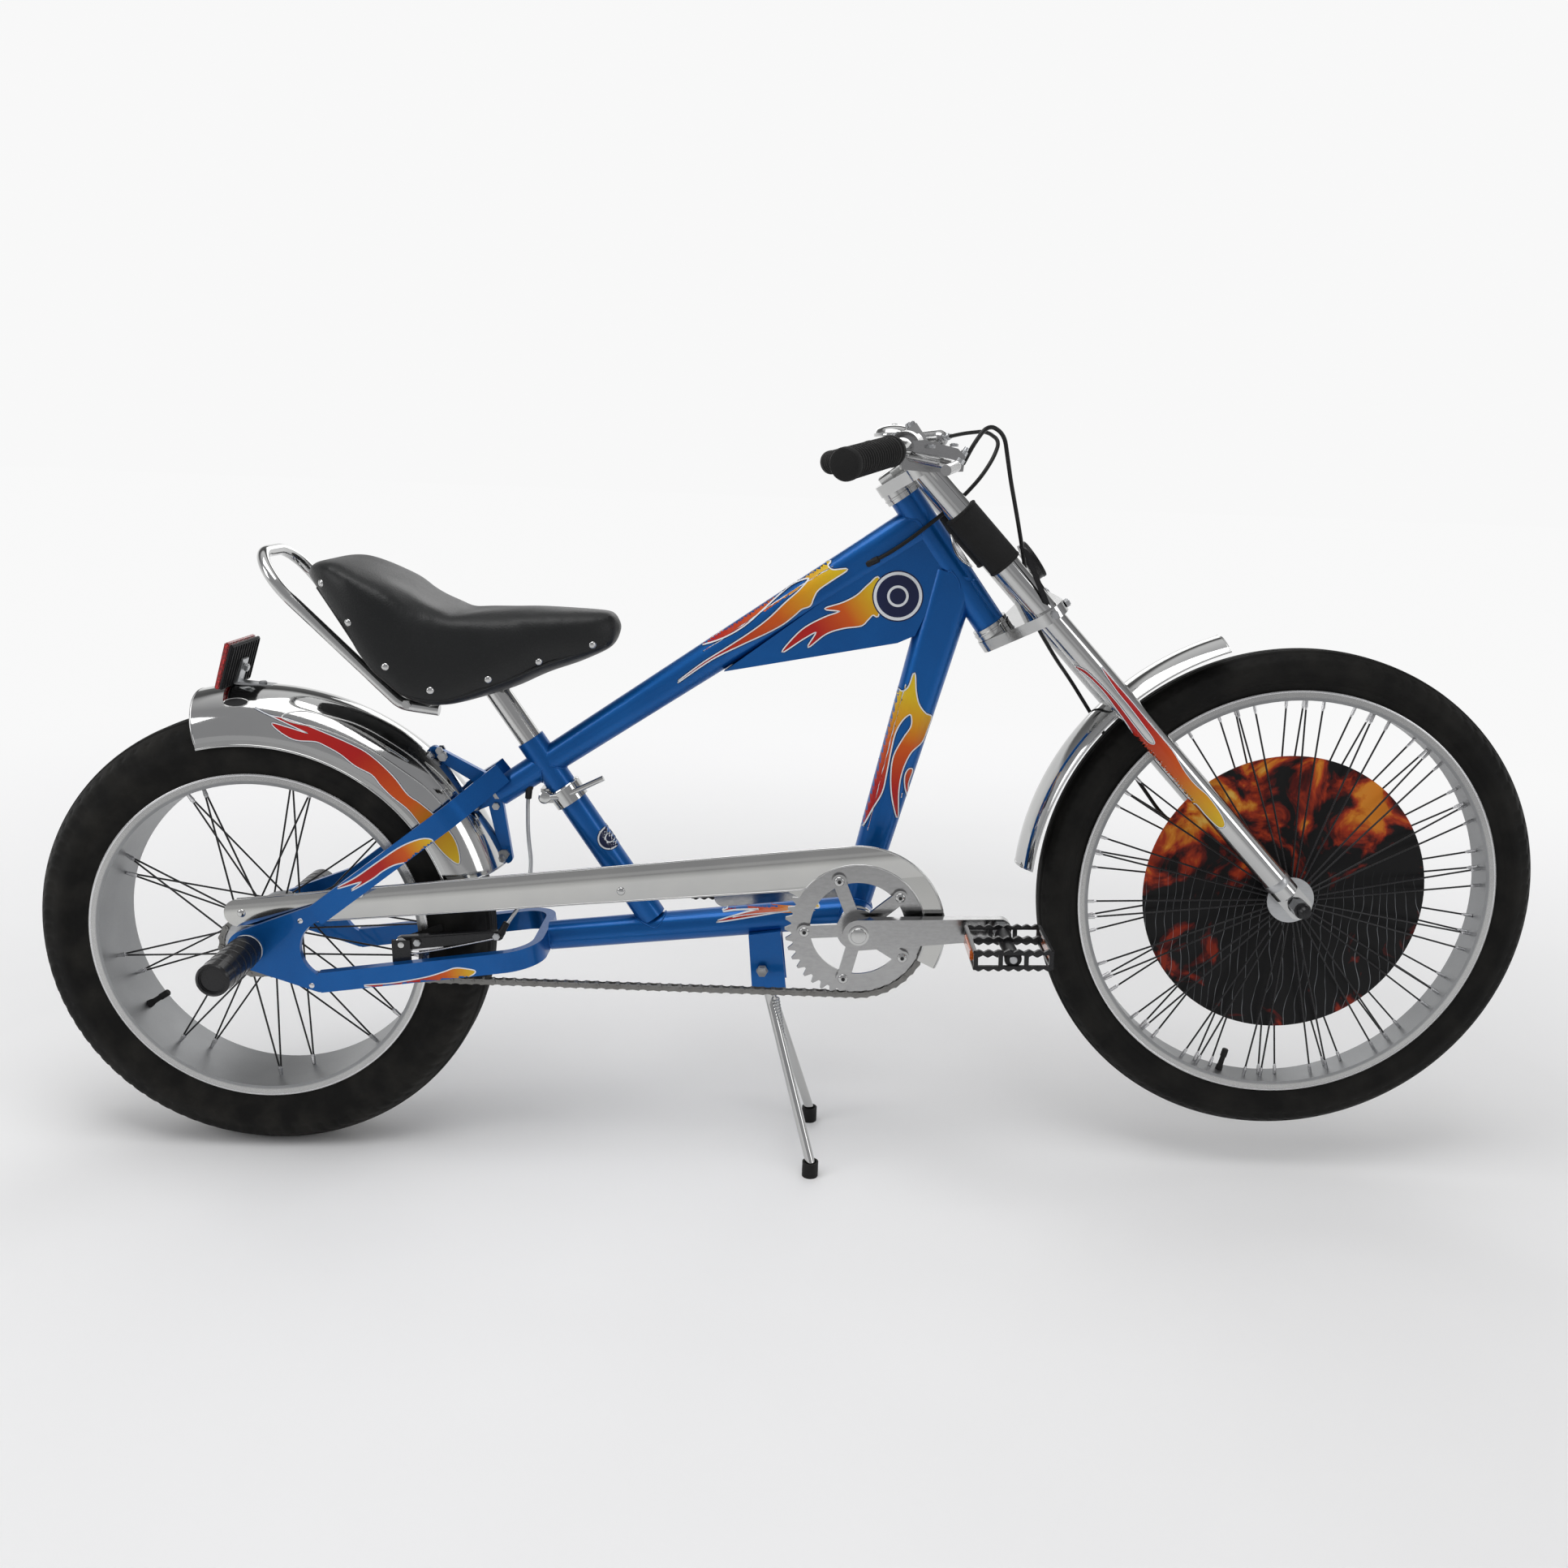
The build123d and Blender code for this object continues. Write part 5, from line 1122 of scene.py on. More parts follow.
def chain_material():
    finish = Finish("oiled_chain_steel")
    patches, specks = smudged(finish, 40.0)
    shade = finish.mix(patches, (0.16, 0.155, 0.145, 1), (0.30, 0.30, 0.29, 1))
    finish.set(
        Base_Color=finish.mix(finish.span(specks, 0.5, 0.75, 0.0, 0.6), shade, (0.05, 0.042, 0.034, 1)),
        Metallic=0.9,
        Roughness=finish.span(specks, 0.3, 0.7, 0.30, 0.48),
    )
    finish.bump(specks, 0.0002, 0.3)
    return finish.material


chain_steel = chain_material()


def link_shape(name, half_width, plate, roller):
    """One link round its own middle: two waisted plates on two rollers, or on two pins"""
    pitch, big, waist = 0.0127, 0.0041, 0.0030
    outline = []
    for hand in (1, -1):
        for step in range(7):
            a = math.radians(-75 + 25 * step) if hand > 0 else math.radians(105 + 25 * step)
            outline.append((hand * pitch / 2 + big * math.cos(a), big * math.sin(a)))
        outline.append((0.0, waist * hand))
    points, faces = [], []

    def plate_between(shape, y0, y1):
        start, n = len(points), len(shape)
        points.extend((x, y, z) for y in (y0, y1) for x, z in shape)
        faces.append([start + i for i in range(n)])
        faces.append([start + n + i for i in reversed(range(n))])
        faces.extend(
            [start + (i + 1) % n, start + i, start + n + i, start + n + (i + 1) % n] for i in range(n)
        )

    plate_between(outline, -half_width, -half_width + plate)
    plate_between(outline, half_width - plate, half_width)
    radius, sides, reach = (0.0038, 12, half_width - plate) if roller else (0.0017, 8, half_width + 0.0006)
    turns = [2 * math.pi * i / sides for i in range(sides)]
    for x in (-pitch / 2, pitch / 2):
        plate_between([(x + radius * math.cos(a), radius * math.sin(a)) for a in turns], -reach, reach)
    mesh = bpy.data.meshes.new(name)
    mesh.from_pydata(points, [], faces)
    link = bpy.data.objects.new(name, mesh)
    bpy.context.scene.collection.objects.link(link)
    return link


def link_on(add, link, given, turn):
    shape = add("GeometryNodeObjectInfo")
    link(given["Link"], shape.inputs["Object"])
    return shape.outputs["Geometry"], turn


chain_run = scatter_tree("chain_run", (("Link", "Object"),), "turn", False, link_on)


def links(name, places, unit):
    """Links at (point, turn about the sideways axis) places, as one plain mesh"""
    points, turns = [p for p, _ in places], [(0.0, a, 0.0) for _, a in places]
    mesh = scattered(name, points, "turn", turns, chain_run, Link=unit, Finish=chain_steel)
    bpy.data.objects.remove(unit)
    return shown(name, mesh, "frame", "steel")


chain_pitch, ring_teeth, cog_teeth, chain_side = 12.7, 42, 18, -63.75
bracket_x, bracket_z = 733.0, 21.0
ring_pitch = chain_pitch / 2 / math.sin(math.pi / ring_teeth)
cog_pitch = chain_pitch / 2 / math.sin(math.pi / cog_teeth)
drive_span = math.hypot(bracket_x, bracket_z)
drive_tilt = math.atan2(bracket_z, bracket_x)
tangent_turn = math.acos((cog_pitch - ring_pitch) / drive_span)
run_length = drive_span * math.sin(tangent_turn)
ring_arc = 2 * tangent_turn
upper_normal, lower_normal = drive_tilt + tangent_turn, drive_tilt - tangent_turn
loop = run_length * 2 + ring_arc * ring_pitch + (2 * math.pi - ring_arc) * cog_pitch
link_count = 2 * round(loop / chain_pitch / 2)


def chain_place(distance):
    """A point of the pitch line, and its direction's angle, a distance from the upper run's rear end"""

    def off(x, z, radius, normal, along=0.0):
        a = normal - math.pi / 2
        x += radius * math.cos(normal) + along * math.cos(a)
        return x, z + radius * math.sin(normal) + along * math.sin(a), a

    if distance < run_length:
        return off(0.0, 0.0, cog_pitch, upper_normal, distance)
    distance -= run_length
    if distance < ring_arc * ring_pitch:
        return off(bracket_x, bracket_z, ring_pitch, upper_normal - distance / ring_pitch)
    distance -= ring_arc * ring_pitch
    if distance < run_length:
        return off(bracket_x, bracket_z, ring_pitch, lower_normal, distance)
    return off(0.0, 0.0, cog_pitch, lower_normal - (distance - run_length) / cog_pitch)


outer_links, inner_links = [], []
for index in range(link_count):
    x, z, a = chain_place(loop * index / link_count)
    (outer_links if index % 2 else inner_links).append((bike(x, z, chain_side), -(a + bike_tilt)))
outer_run = links("chain_outer_links", outer_links, link_shape("outer_link", 0.0042, 0.0011, False))
links("chain_inner_links", inner_links, link_shape("inner_link", 0.0030, 0.0011, True))
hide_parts("chain")

# Cranks and chainring
# Forged alloy cranks pressed on a square spindle under turned caps, with the chainring held to the
# right crank's five arms by domed bolts.


def round_bracket(radius, degrees, y):
    """A point at a radius round the crank's spindle"""
    a = math.radians(degrees)
    return bike(bracket_x + radius * math.cos(a), bracket_z + radius * math.sin(a), y)


bolt_circle = 130.0
# The chainring bolts are domed chrome heads; the small black hex on each is painted shade, standing for the
# dark hollow of the bolt's key socket.
for name, y, tree, radius, height, material, slot in (
    ("chainring_bolts", -70.2, rivet_heads, 0.0062, 0.0022, chrome_plate, "chrome"),
    ("chainring_bolt_bores", -71.6, bolt_heads, 0.0026, 0.0009, black_steel, "steel"),
):
    places = [(round_bracket(bolt_circle / 2, 38.5 + 72 * arm, y), right) for arm in range(5)]
    heads(name, places, tree, radius, height, material, "crank", slot)
for hand, word in both_sides:
    lathe(
        f"crank_cap_{word}", bike(bracket_x, bracket_z, hand * 89.6), sideways(hand),
        [
            (0, 0.0125), (0.0012, 0.0125), (0.0018, 0.0112), (0.0016, 0.0095), (0.0030, 0.0088),
            (0.0036, 0.0050), (0.0036, 0.001)
        ],
        chrome_plate, "crank", "chrome",
    )
    lathe(
        f"bearing_cup_{word}", bike(bracket_x, bracket_z, hand * 36.2), sideways(hand),
        [(0, 0.0200), (0.0015, 0.0212), (0.0060, 0.0212), (0.0075, 0.0190), (0.0078, 0.0100)],
        chrome_plate, "frame", "chrome",
    )
lathe(
    "cog_lock_ring", bike(0, 0, -66.2), right,
    [(0, 0.0215), (0.0012, 0.0220), (0.0030, 0.0205), (0.0034, 0.0130)], zinc_steel, "rear_wheel", "steel",
)

# Pedals
# Cage pedals: black pressed cages with toothed edges round a black barrel, an amber reflector in the
# front and the rear of each cage.


def prism_lens(name, bright, deep, scale, depth, strength, rough, coat, coat_rough, metal=0.0):
    """Clear moulded plastic over small prisms"""
    finish = Finish(name)
    specks = smudged(finish, 20.0)[1]
    prism = finish.add("ShaderNodeTexVoronoi", Scale=scale, Vector=finish.place()).outputs["Distance"]
    finish.set(
        Base_Color=finish.mix(finish.span(prism, 0.1, 0.6, 0.0, 1.0), bright, deep),
        Metallic=metal,
        Roughness=finish.span(specks, 0.3, 0.7, rough, rough + 0.1),
        Coat_Weight=coat,
        Coat_Roughness=coat_rough,
    )
    finish.bump(prism, depth, strength)
    return finish.material


amber_lens = prism_lens(
    "amber_reflector", (0.82, 0.20, 0.010, 1), (0.42, 0.070, 0.006, 1), 420.0, 0.0006, 0.6, 0.10, 0.8, 0.04
)


def block_shape(outline, low, high, bevel):
    """A sheet or block: its side view's outline in millimetres, between two sideways places, edges eased"""
    shape = bmesh.new()
    near = [shape.verts.new(bike(x, z, low)) for x, z in outline]
    far = [shape.verts.new(bike(x, z, high)) for x, z in outline]
    shape.faces.new(near)
    shape.faces.new(list(reversed(far)))
    for i in range(len(outline)):
        j = (i + 1) % len(outline)
        shape.faces.new((near[j], near[i], far[i], far[j]))
    bmesh.ops.bevel(shape, geom=shape.edges[:], offset=bevel, segments=2, affect="EDGES", clamp_overlap=True)
    bmesh.ops.recalc_face_normals(shape, faces=shape.faces)
    shape.verts.index_update()
    points = [v.co.copy() for v in shape.verts]
    faces = [[v.index for v in f.verts] for f in shape.faces]
    shape.free()
    return points, faces


def slab(name, outline, low, high, material, body, slot, bevel=0.0006, replaces=()):
    points, faces = block_shape(outline, low, high, bevel)
    return piece(name, points, faces, material, body, slot, False, replaces)


def slabs(name, parts, material, body, slot, bevel=0.0004, replaces=()):
    """Several blocks, each (outline, low, high), as one mesh"""
    points, faces = [], []
    for outline, low, high in parts:
        more_points, more_faces = block_shape(outline, low, high, bevel)
        faces += [[len(points) + i for i in face] for face in more_faces]
        points += more_points
    return piece(name, points, faces, material, body, slot, False, replaces)


def toothed(x0, x1, z_base, z_top, step):
    """A rail's outline whose outer edge is cut in teeth"""
    line = [(x1, z_base), (x0, z_base)]
    rise = z_top - z_base
    count = round((x1 - x0) / step)
    for i in range(count):
        a = x0 + (x1 - x0) * i / count
        b = x0 + (x1 - x0) * (i + 1) / count
        middle, root = (a + b) / 2, z_base + 0.55 * rise
        line += [(a + 0.1, root), (middle - 0.9, z_top), (middle + 0.9, z_top), (b - 0.1, root)]
    return line


crank_length, right_crank_angle = 170.0, 2.5
for hand, word in both_sides:
    angle = math.radians(right_crank_angle + (180 if hand > 0 else 0))
    px = bracket_x + crank_length * math.cos(angle)
    pz = bracket_z + crank_length * math.sin(angle)

    def box(x0, x1, z0, z1):
        return [(px + x0, pz + z0), (px + x1, pz + z0), (px + x1, pz + z1), (px + x0, pz + z1)]

    def span_of(inner, outer):
        return sorted((hand * inner, hand * outer))

    body = f"pedal_{word}_body"
    for way, end in ((-1, "rear"), (1, "front")):
        outline = box(way * 43.0, way * 47.4, -6.5, 6.5)
        slab(
            f"pedal_{word}_reflector_{end}", outline, *span_of(121, 175), amber_lens, body, "red_lens", 0.0012
        )
    cage = []
    for inner, outer, reach, posts in (
        (104, 108, 45, ((-45, -40), (-17, -12), (12, 17), (40, 45))),
        (188, 192, 45, ((-45, -40), (-17, -12), (12, 17), (40, 45))),
        (144, 149, 40, ()),
    ):
        y0, y1 = span_of(inner, outer)
        for row in (-1, 1):
            rail = toothed(px - reach, px + reach, 6.5, 12.5, 11.0)
            cage.append(([(x, pz + row * z) for x, z in rail], y0, y1))
        cage += [(box(x0, x1, -7, 7), y0, y1) for x0, x1 in posts]
    for way in (-1, 1):
        x0, x1 = sorted((way * 41.5, way * 45.5))
        cage += [(box(x0, x1, z0, z1), *span_of(105, 191)) for z0, z1 in ((-11.5, -7.5), (7.5, 11.5))]
    slabs(f"pedal_{word}_cage", cage, black_steel, body, "black_paint", 0.0005, (f"pedal_{word}",))
    lathe(
        f"pedal_{word}_pin", bike(px, pz, hand * 90.5), sideways(hand),
        [(0, 0.0060), (0.030, 0.0060), (0.0985, 0.0058), (0.1005, 0.0040)], zinc_steel, body, "steel", 20,
    )
    lathe(
        f"pedal_{word}_barrel", bike(px, pz, hand * 106), sideways(hand),
        [
            (0, 0.0085), (0.004, 0.0100), (0.012, 0.0088), (0.042, 0.0080), (0.072, 0.0088), (0.080, 0.0100),
            (0.0825, 0.0088), (0.0845, 0.004)
        ],
        black_plastic, body, "black_plastic",
    )
    lathe(
        f"pedal_{word}_collar", bike(px, pz, hand * 90.2), sideways(hand),
        [(0, 0.0095), (0.0012, 0.0105), (0.0050, 0.0105), (0.0062, 0.0082), (0.0120, 0.0078)], zinc_steel,
        body, "steel", 6,
    )

# Saddle
# A long sprung saddle: black vinyl drawn over thick foam on a pan, its skirt held by a row of domed
# chrome rivets low on each side.


def vinyl():
    finish = Finish("black_saddle_vinyl")
    patches, specks = smudged(finish, 10.0)
    pebble = finish.add("ShaderNodeTexVoronoi", Scale=620.0, Vector=finish.place())
    pebble.feature = "SMOOTH_F1"
    creases = finish.noise(26.0, 4.0)
    shade = finish.mix(patches, (0.0040, 0.0045, 0.0048, 1), (0.0080, 0.0088, 0.0092, 1))
    finish.set(
        Base_Color=finish.mix(finish.span(specks, 0.58, 0.8, 0.0, 0.35), shade, (0.022, 0.022, 0.022, 1)),
        Roughness=finish.math(
            "ADD", finish.span(patches, 0.3, 0.7, 0.34, 0.42),
            finish.span(pebble.outputs["Distance"], 0, 1, 0.0, 0.08)
        ),
        Specular_IOR_Level=0.36,
    )
    soft = finish.bump(creases, 0.0011, 0.35)
    finish.bump(pebble.outputs["Distance"], 0.00045, 0.40, soft)
    return finish.material


saddle_vinyl = vinyl()


def saddle():
    """The seat's foam, remeshed, blown up by cloth pressure and smoothed"""
    shape = bmesh.new()
    shape.from_mesh(cad["seat"].data)
    bmesh.ops.remove_doubles(shape, verts=shape.verts, dist=1e-5)
    bmesh.ops.recalc_face_normals(shape, faces=shape.faces)
    mesh = bpy.data.meshes.new("saddle")
    shape.to_mesh(mesh)
    shape.free()
    made = bpy.data.objects.new("saddle", mesh)
    bpy.context.scene.collection.objects.link(made)
    remesh = made.modifiers.new("remesh", "REMESH")
    remesh.mode = "VOXEL"
    remesh.voxel_size = 0.0055
    soften = made.modifiers.new("soften", "SMOOTH")
    soften.factor = 0.5
    soften.iterations = 14
    shaped = finished(made)
    made.modifiers.clear()
    made.data = shaped
    first = [v.co.copy() for v in shaped.vertices]
    last_frame, furthest = 20, 0.006
    cloth = made.modifiers.new("cloth", "CLOTH")
    cloth.settings.quality = 5
    cloth.settings.use_pressure = True
    cloth.settings.uniform_pressure_force = 4.0
    cloth.settings.effector_weights.gravity = 0.0
    cloth.settings.tension_stiffness = 25.0
    cloth.settings.compression_stiffness = 25.0
    cloth.settings.shear_stiffness = 12.0
    cloth.settings.bending_stiffness = 8.0
    cloth.point_cache.frame_start = 1
    cloth.point_cache.frame_end = last_frame
    for moment in range(1, last_frame + 1):
        bpy.context.scene.frame_set(moment)
    blown = finished(made)
    made.modifiers.clear()
    made.data = blown
    bpy.context.scene.frame_set(1)
    for point, rest in zip(blown.vertices, first):
        move = point.co - rest
        if move.length > furthest:
            point.co = rest + move.normalized() * furthest
    low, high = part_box("seat")
    for point in made.data.vertices:
        for axis in range(3):
            point.co[axis] = min(max(point.co[axis], low[axis] - 0.001), high[axis] + 0.001)
    rounded = made.modifiers.new("rounded", "SMOOTH")
    rounded.factor = 0.5
    rounded.iterations = 26
    finer = made.modifiers.new("finer", "SUBSURF")
    finer.levels = finer.render_levels = 1
    final = finished(made)
    made.modifiers.clear()
    made.data = final
    final.polygons.foreach_set("use_smooth", [True] * len(final.polygons))
    final.materials.clear()
    final.materials.append(saddle_vinyl)
    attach(made, "frame")
    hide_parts("seat")
    return made


saddle_piece = saddle()
saddle_mesh = saddle_piece.data
saddle_skin = BVHTree.FromPolygons(
    [v.co for v in saddle_mesh.vertices], [list(p.vertices) for p in saddle_mesh.polygons]
)
rivet_places = []
for x, z in ((117, 438), (150, 395), (190, 345), (237, 316), (300, 326), (356, 344), (417, 362)):
    for hand in (-1, 1):
        hit, normal, _, _ = saddle_skin.ray_cast(bike(x, z, hand * 200), sideways(-hand))
        if hit is not None:
            rivet_places.append((hit - normal * 0.0004, normal))
heads("saddle_rivets", rivet_places, rivet_heads, 0.0047, 0.0026, chrome_plate, "frame", "chrome")
right_seam = []
for x, z in (
    (88, 440), (108, 432), (136, 398), (170, 346), (206, 312), (232, 303), (262, 305), (322, 324), (362, 342),
    (432, 362)
):
    hit = saddle_skin.ray_cast(bike(x, z, -200), left)[0]
    if hit is not None:
        right_seam.append(hit)
for hand, word in both_sides:
    line = [Vector((hit.x, hit.y * -hand, hit.z)) for hit in right_seam]
    rod(f"saddle_piping_{word}", line, 0.0015, saddle_vinyl, "frame", "vinyl", sides=2, steps=6)

# Seat clamp and post
# A chromed split collar round the seat tube's top, drawn tight on the post by a steel bolt with a
# quick-release lever.
tube_foot, tube_top, clamp_height = bike(477.4, 14), bike(332.4, 242), 0.188
post_way = (tube_top - tube_foot).normalized()
clamp_middle = tube_foot + post_way * clamp_height
back_way = -ahead
lathe(
    "clamp_bolt_end", clamp_middle + back_way * 0.0255 + sideways(0.0175), left,
    [(0, 0.0062), (0.0015, 0.0066), (0.0058, 0.0066), (0.0068, 0.0050)], chrome_plate, "frame", "chrome", 20,
)
lathe(
    "clamp_lever_hub", clamp_middle + back_way * 0.0255 + sideways(-0.0125), right,
    [(0, 0.0070), (0.0012, 0.0076), (0.0085, 0.0076), (0.0100, 0.0055), (0.0104, 0.0015)], chrome_plate,
    "frame", "chrome", 24,
)
lathe(
    "post_collar", clamp_middle + post_way * 0.0102, post_way,
    [(0, 0.0218), (0.0008, 0.0222), (0.0022, 0.0214), (0.0034, 0.0160), (0.0040, 0.0146)], chrome_plate,
    "frame", "chrome",
)

# Rear fender
# A rolled steel fender, chromed, with a wired edge, a pressed rib round its side and a slot for its bolt.
# It is bolted to the stays' bracket in front and carries the rear reflector on its crown.
fender_skin = surface("rear_fender")


def laid_line(name, outline, skin, hand, radius, material, body, slot, closed=False, steps=8):
    points = [laid(skin, x, z, hand, 0.0) for x, z in outline]
    rod(name, points, radius, material, body, slot, closed=closed, sides=2, steps=steps)


rib_line = [
    (46, 279), (70, 285), (103, 277), (136, 266), (170, 246), (202, 222), (226, 195), (246, 167), (252, 148),
    (240, 160),
    (217, 190), (192, 210), (160, 234), (125, 253), (90, 266), (60, 272),
]


def arc_points(axle, radius, first, last, y, count=40):
    angles = [first + (last - first) * i / count for i in range(count + 1)]
    return [axle + outward(angle) * radius + sideways(y) for angle in angles]


for hand, word in both_sides:
    laid_line(
        f"rear_fender_rib_{word}", rib_line, fender_skin, hand, 0.0012, chrome_plate, "frame", "chrome",
        closed=True
    )
    rod(
        f"rear_fender_edge_{word}", arc_points(rear_axle, 0.2452, 16, 102, hand * 0.0577), 0.0017,
        chrome_plate, "frame", "chrome", sides=2, steps=3
    )
for angle, word in ((16.2, "front"), (101.8, "rear")):
    out = outward(angle)
    bends = [math.radians(-90 + 6 * i) for i in range(31)]
    lip = [rear_axle + out * (0.2515 + 0.0575 * math.cos(b)) + sideways(0.0578 * math.sin(b)) for b in bends]
    rod(f"rear_fender_lip_{word}", lip, 0.0015, chrome_plate, "frame", "chrome", sides=2, steps=3)
# The bolt slot's dark opening is painted shade: a flat black film laid on the fender inside a chrome rim, with
# no hole cut.
slot_line = [
    Vector((-6 + 15 * math.cos(i * math.pi / 14), 293.5 + 4.5 * math.sin(i * math.pi / 14)))
    for i in range(28)
]
for hand, word in both_sides:
    film(f"rear_fender_slot_{word}", slot_line, ["rear_fender"], hand, 0.0003, black_plastic, "frame")
    laid_line(
        f"rear_fender_slot_edge_{word}", [tuple(p) for p in slot_line[::2]], fender_skin, hand, 0.0008,
        chrome_plate, "frame", "chrome", closed=True, steps=3
    )
crown_bolts = []
for angle in (46.5, 31.0, 17.5):
    out = outward(angle)
    crown_bolts.append((rear_axle + out * 0.3085, out))
heads(
    "fender_bolts", [(p + sideways(-0.012) - d * 0.001, d) for p, d in crown_bolts], bolt_heads, 0.0055,
    0.0036, zinc_steel, "frame", "steel"
)
heads(
    "bracket_bolts",
    [
        (bike(x, z, hand * 4.2), sideways(hand))
        for x, z in ((281, 187), (290, 172), (288, 158), (222, 228), (262, 163))
        for hand in (-1, 1)
    ],
    bolt_heads, 0.0048, 0.0030, zinc_steel, "frame", "steel"
)

# Rear reflector
# A red moulded lens with small prisms, snapped in a ribbed black plastic shell, on a zinc-plated
# strap bolted to the fender's crown.
red_lens = prism_lens(
    "red_reflector", (0.62, 0.012, 0.012, 1), (0.22, 0.004, 0.004, 1), 380.0, 0.0007, 0.7, 0.08, 0.9, 0.03
)


def crown_slab(name, outline, low, high, material, slot, bevel=0.0006, replaces=()):
    return slab(
        name, [(x, 310 + rise) for x, rise in outline], low, high, material, "frame", slot, bevel, replaces
    )


crown_slab(
    "reflector_shell", [(-24.5, -1.0), (-20.5, -1.5), (-3.0, 51.0), (-7.0, 53.0)], -42, 42, black_plastic,
    "black_plastic", 0.0012, ("rear_reflector",)
)
crown_slab(
    "reflector_lens", [(-31.0, -1.0), (-24.2, -1.0), (-7.0, 53.0), (-13.5, 55.5)], -41, 41, red_lens,
    "red_lens", 0.0018
)
rib_outline = [(-20.9, 311.5), (-18.4, 311.0), (-2.6, 358.5), (-5.0, 359.5)]
slabs(
    "reflector_ribs", [(rib_outline, -38.4 + 7.5 * step, -36.6 + 7.5 * step) for step in range(11)],
    black_plastic, "frame", "black_plastic"
)
crown_slab(
    "reflector_strap", [(-20.5, 0.2), (26.0, -3.6), (26.0, -1.2), (-15.5, 2.8), (-6.0, 30.0), (-8.5, 31.5)],
    -9, 9, zinc_steel, "steel", 0.0004
)
heads(
    "reflector_bolts", [(bike(12, 308.6, 0), upward), (bike(-8.2, 330, 0), (ahead * 0.94 - upward * 0.33))],
    bolt_heads, 0.0050, 0.0036, zinc_steel, "frame", "steel",
)

# Sissy bar and pegs
# A bent chromed steel hoop bolted to flats under the saddle, and black steel pegs with turned rings,
# screwed on the axle's ends over washers.
heads(
    "sissy_bolts", [(bike(204, 297, hand * 68.5), sideways(hand)) for hand in (-1, 1)], bolt_heads, 0.0055,
    0.0035, chrome_plate, "frame", "chrome"
)
for hand, word in both_sides:
    lathe(
        f"peg_cap_{word}", bike(0, 0, hand * 178.6), sideways(hand),
        [
            (0, 0.0192), (0.0012, 0.0192), (0.0028, 0.0176), (0.0030, 0.0158), (0.0006, 0.0150),
            (-0.0100, 0.0146)
        ],
        black_steel, "frame", "black_paint", 40,
    )
    for step in range(5):
        lathe(
            f"peg_ring_{step + 1}_{word}", bike(0, 0, hand * (98 + 15 * step)), sideways(hand),
            [(0, 0.0194), (0.0008, 0.0200), (0.0060, 0.0200), (0.0068, 0.0194)], black_steel, "frame",
            "black_paint", 40,
        )
    lathe(
        f"axle_washer_{word}", bike(0, 0, hand * 81.6), sideways(hand),
        [(0, 0.0185), (0.0006, 0.0192), (0.0026, 0.0192), (0.0032, 0.0185), (0.0034, 0.0120)], zinc_steel,
        "frame", "steel",
    )

# Chain guard
# A band of chromed sheet steel with a wired edge and a sickle round the ring, riveted to a zinc-plated
# clip near its rear end.


def guard_plating():
    finish = Finish("chain_guard_chrome")
    patches, specks = smudged(finish, 12.0)
    rise, half_height = math.radians(7.16), 0.019
    across = finish.add("ShaderNodeSeparateXYZ", Vector=finish.place(tuple(bike(-12, 42)), (0.0, rise, 0.0)))
    share = finish.math("ABSOLUTE", finish.math("DIVIDE", across.outputs["Z"], half_height))
    crown = finish.math("SUBTRACT", 1.0, finish.math("POWER", share, 2.0))
    finish.set(
        Base_Color=finish.mix(patches, (0.46, 0.465, 0.46, 1), (0.60, 0.595, 0.57, 1)),
        Metallic=1.0,
        Roughness=finish.math(
            "ADD", finish.span(patches, 0.35, 0.75, 0.05, 0.13), finish.span(specks, 0.5, 0.8, 0.0, 0.05)
        ),
    )
    soft = finish.bump(finish.math("MAXIMUM", crown, -1.0), 0.0030, 1.0)
    finish.bump(specks, 0.0002, 0.05, soft)
    return finish.material


guard_chrome = guard_plating()
wear(guard_chrome, "chain_guard")
guard_side = -70.3
guard_top = [
    bike(x, z, guard_side) for x, z in ((-12, 59.4), (120, 71.4), (300, 87.6), (500, 105.7), (690, 122.9))
]
sickle = [round_bracket(105, 100 - 4.9 * i, guard_side) for i in range(27)]
rod("guard_edge_upper", guard_top + sickle, 0.0014, chrome_plate, "frame", "chrome", sides=2, steps=5)
guard_foot = [bike(x, z, guard_side) for x, z in ((-12, 25.2), (160, 37.2), (400, 53.9), (640, 69.9))]
inner_arc = [round_bracket(82, 142 - 5.6 * i, guard_side) for i in range(31)]
rod("guard_edge_lower", guard_foot + inner_arc, 0.0012, chrome_plate, "frame", "chrome", sides=2, steps=5)
heads(
    "guard_rivets", [(bike(135, 66, -71), right), (bike(448, 70, -71), right), (bike(-8, 42, -71), right)],
    rivet_heads, 0.0052, 0.0024, chrome_plate, "frame", "chrome"
)
slab(
    "guard_clip", [(120, 52), (150, 54), (150, 64), (120, 62)], -69.4, -66.8, zinc_steel, "frame", "steel",
    0.0005
)

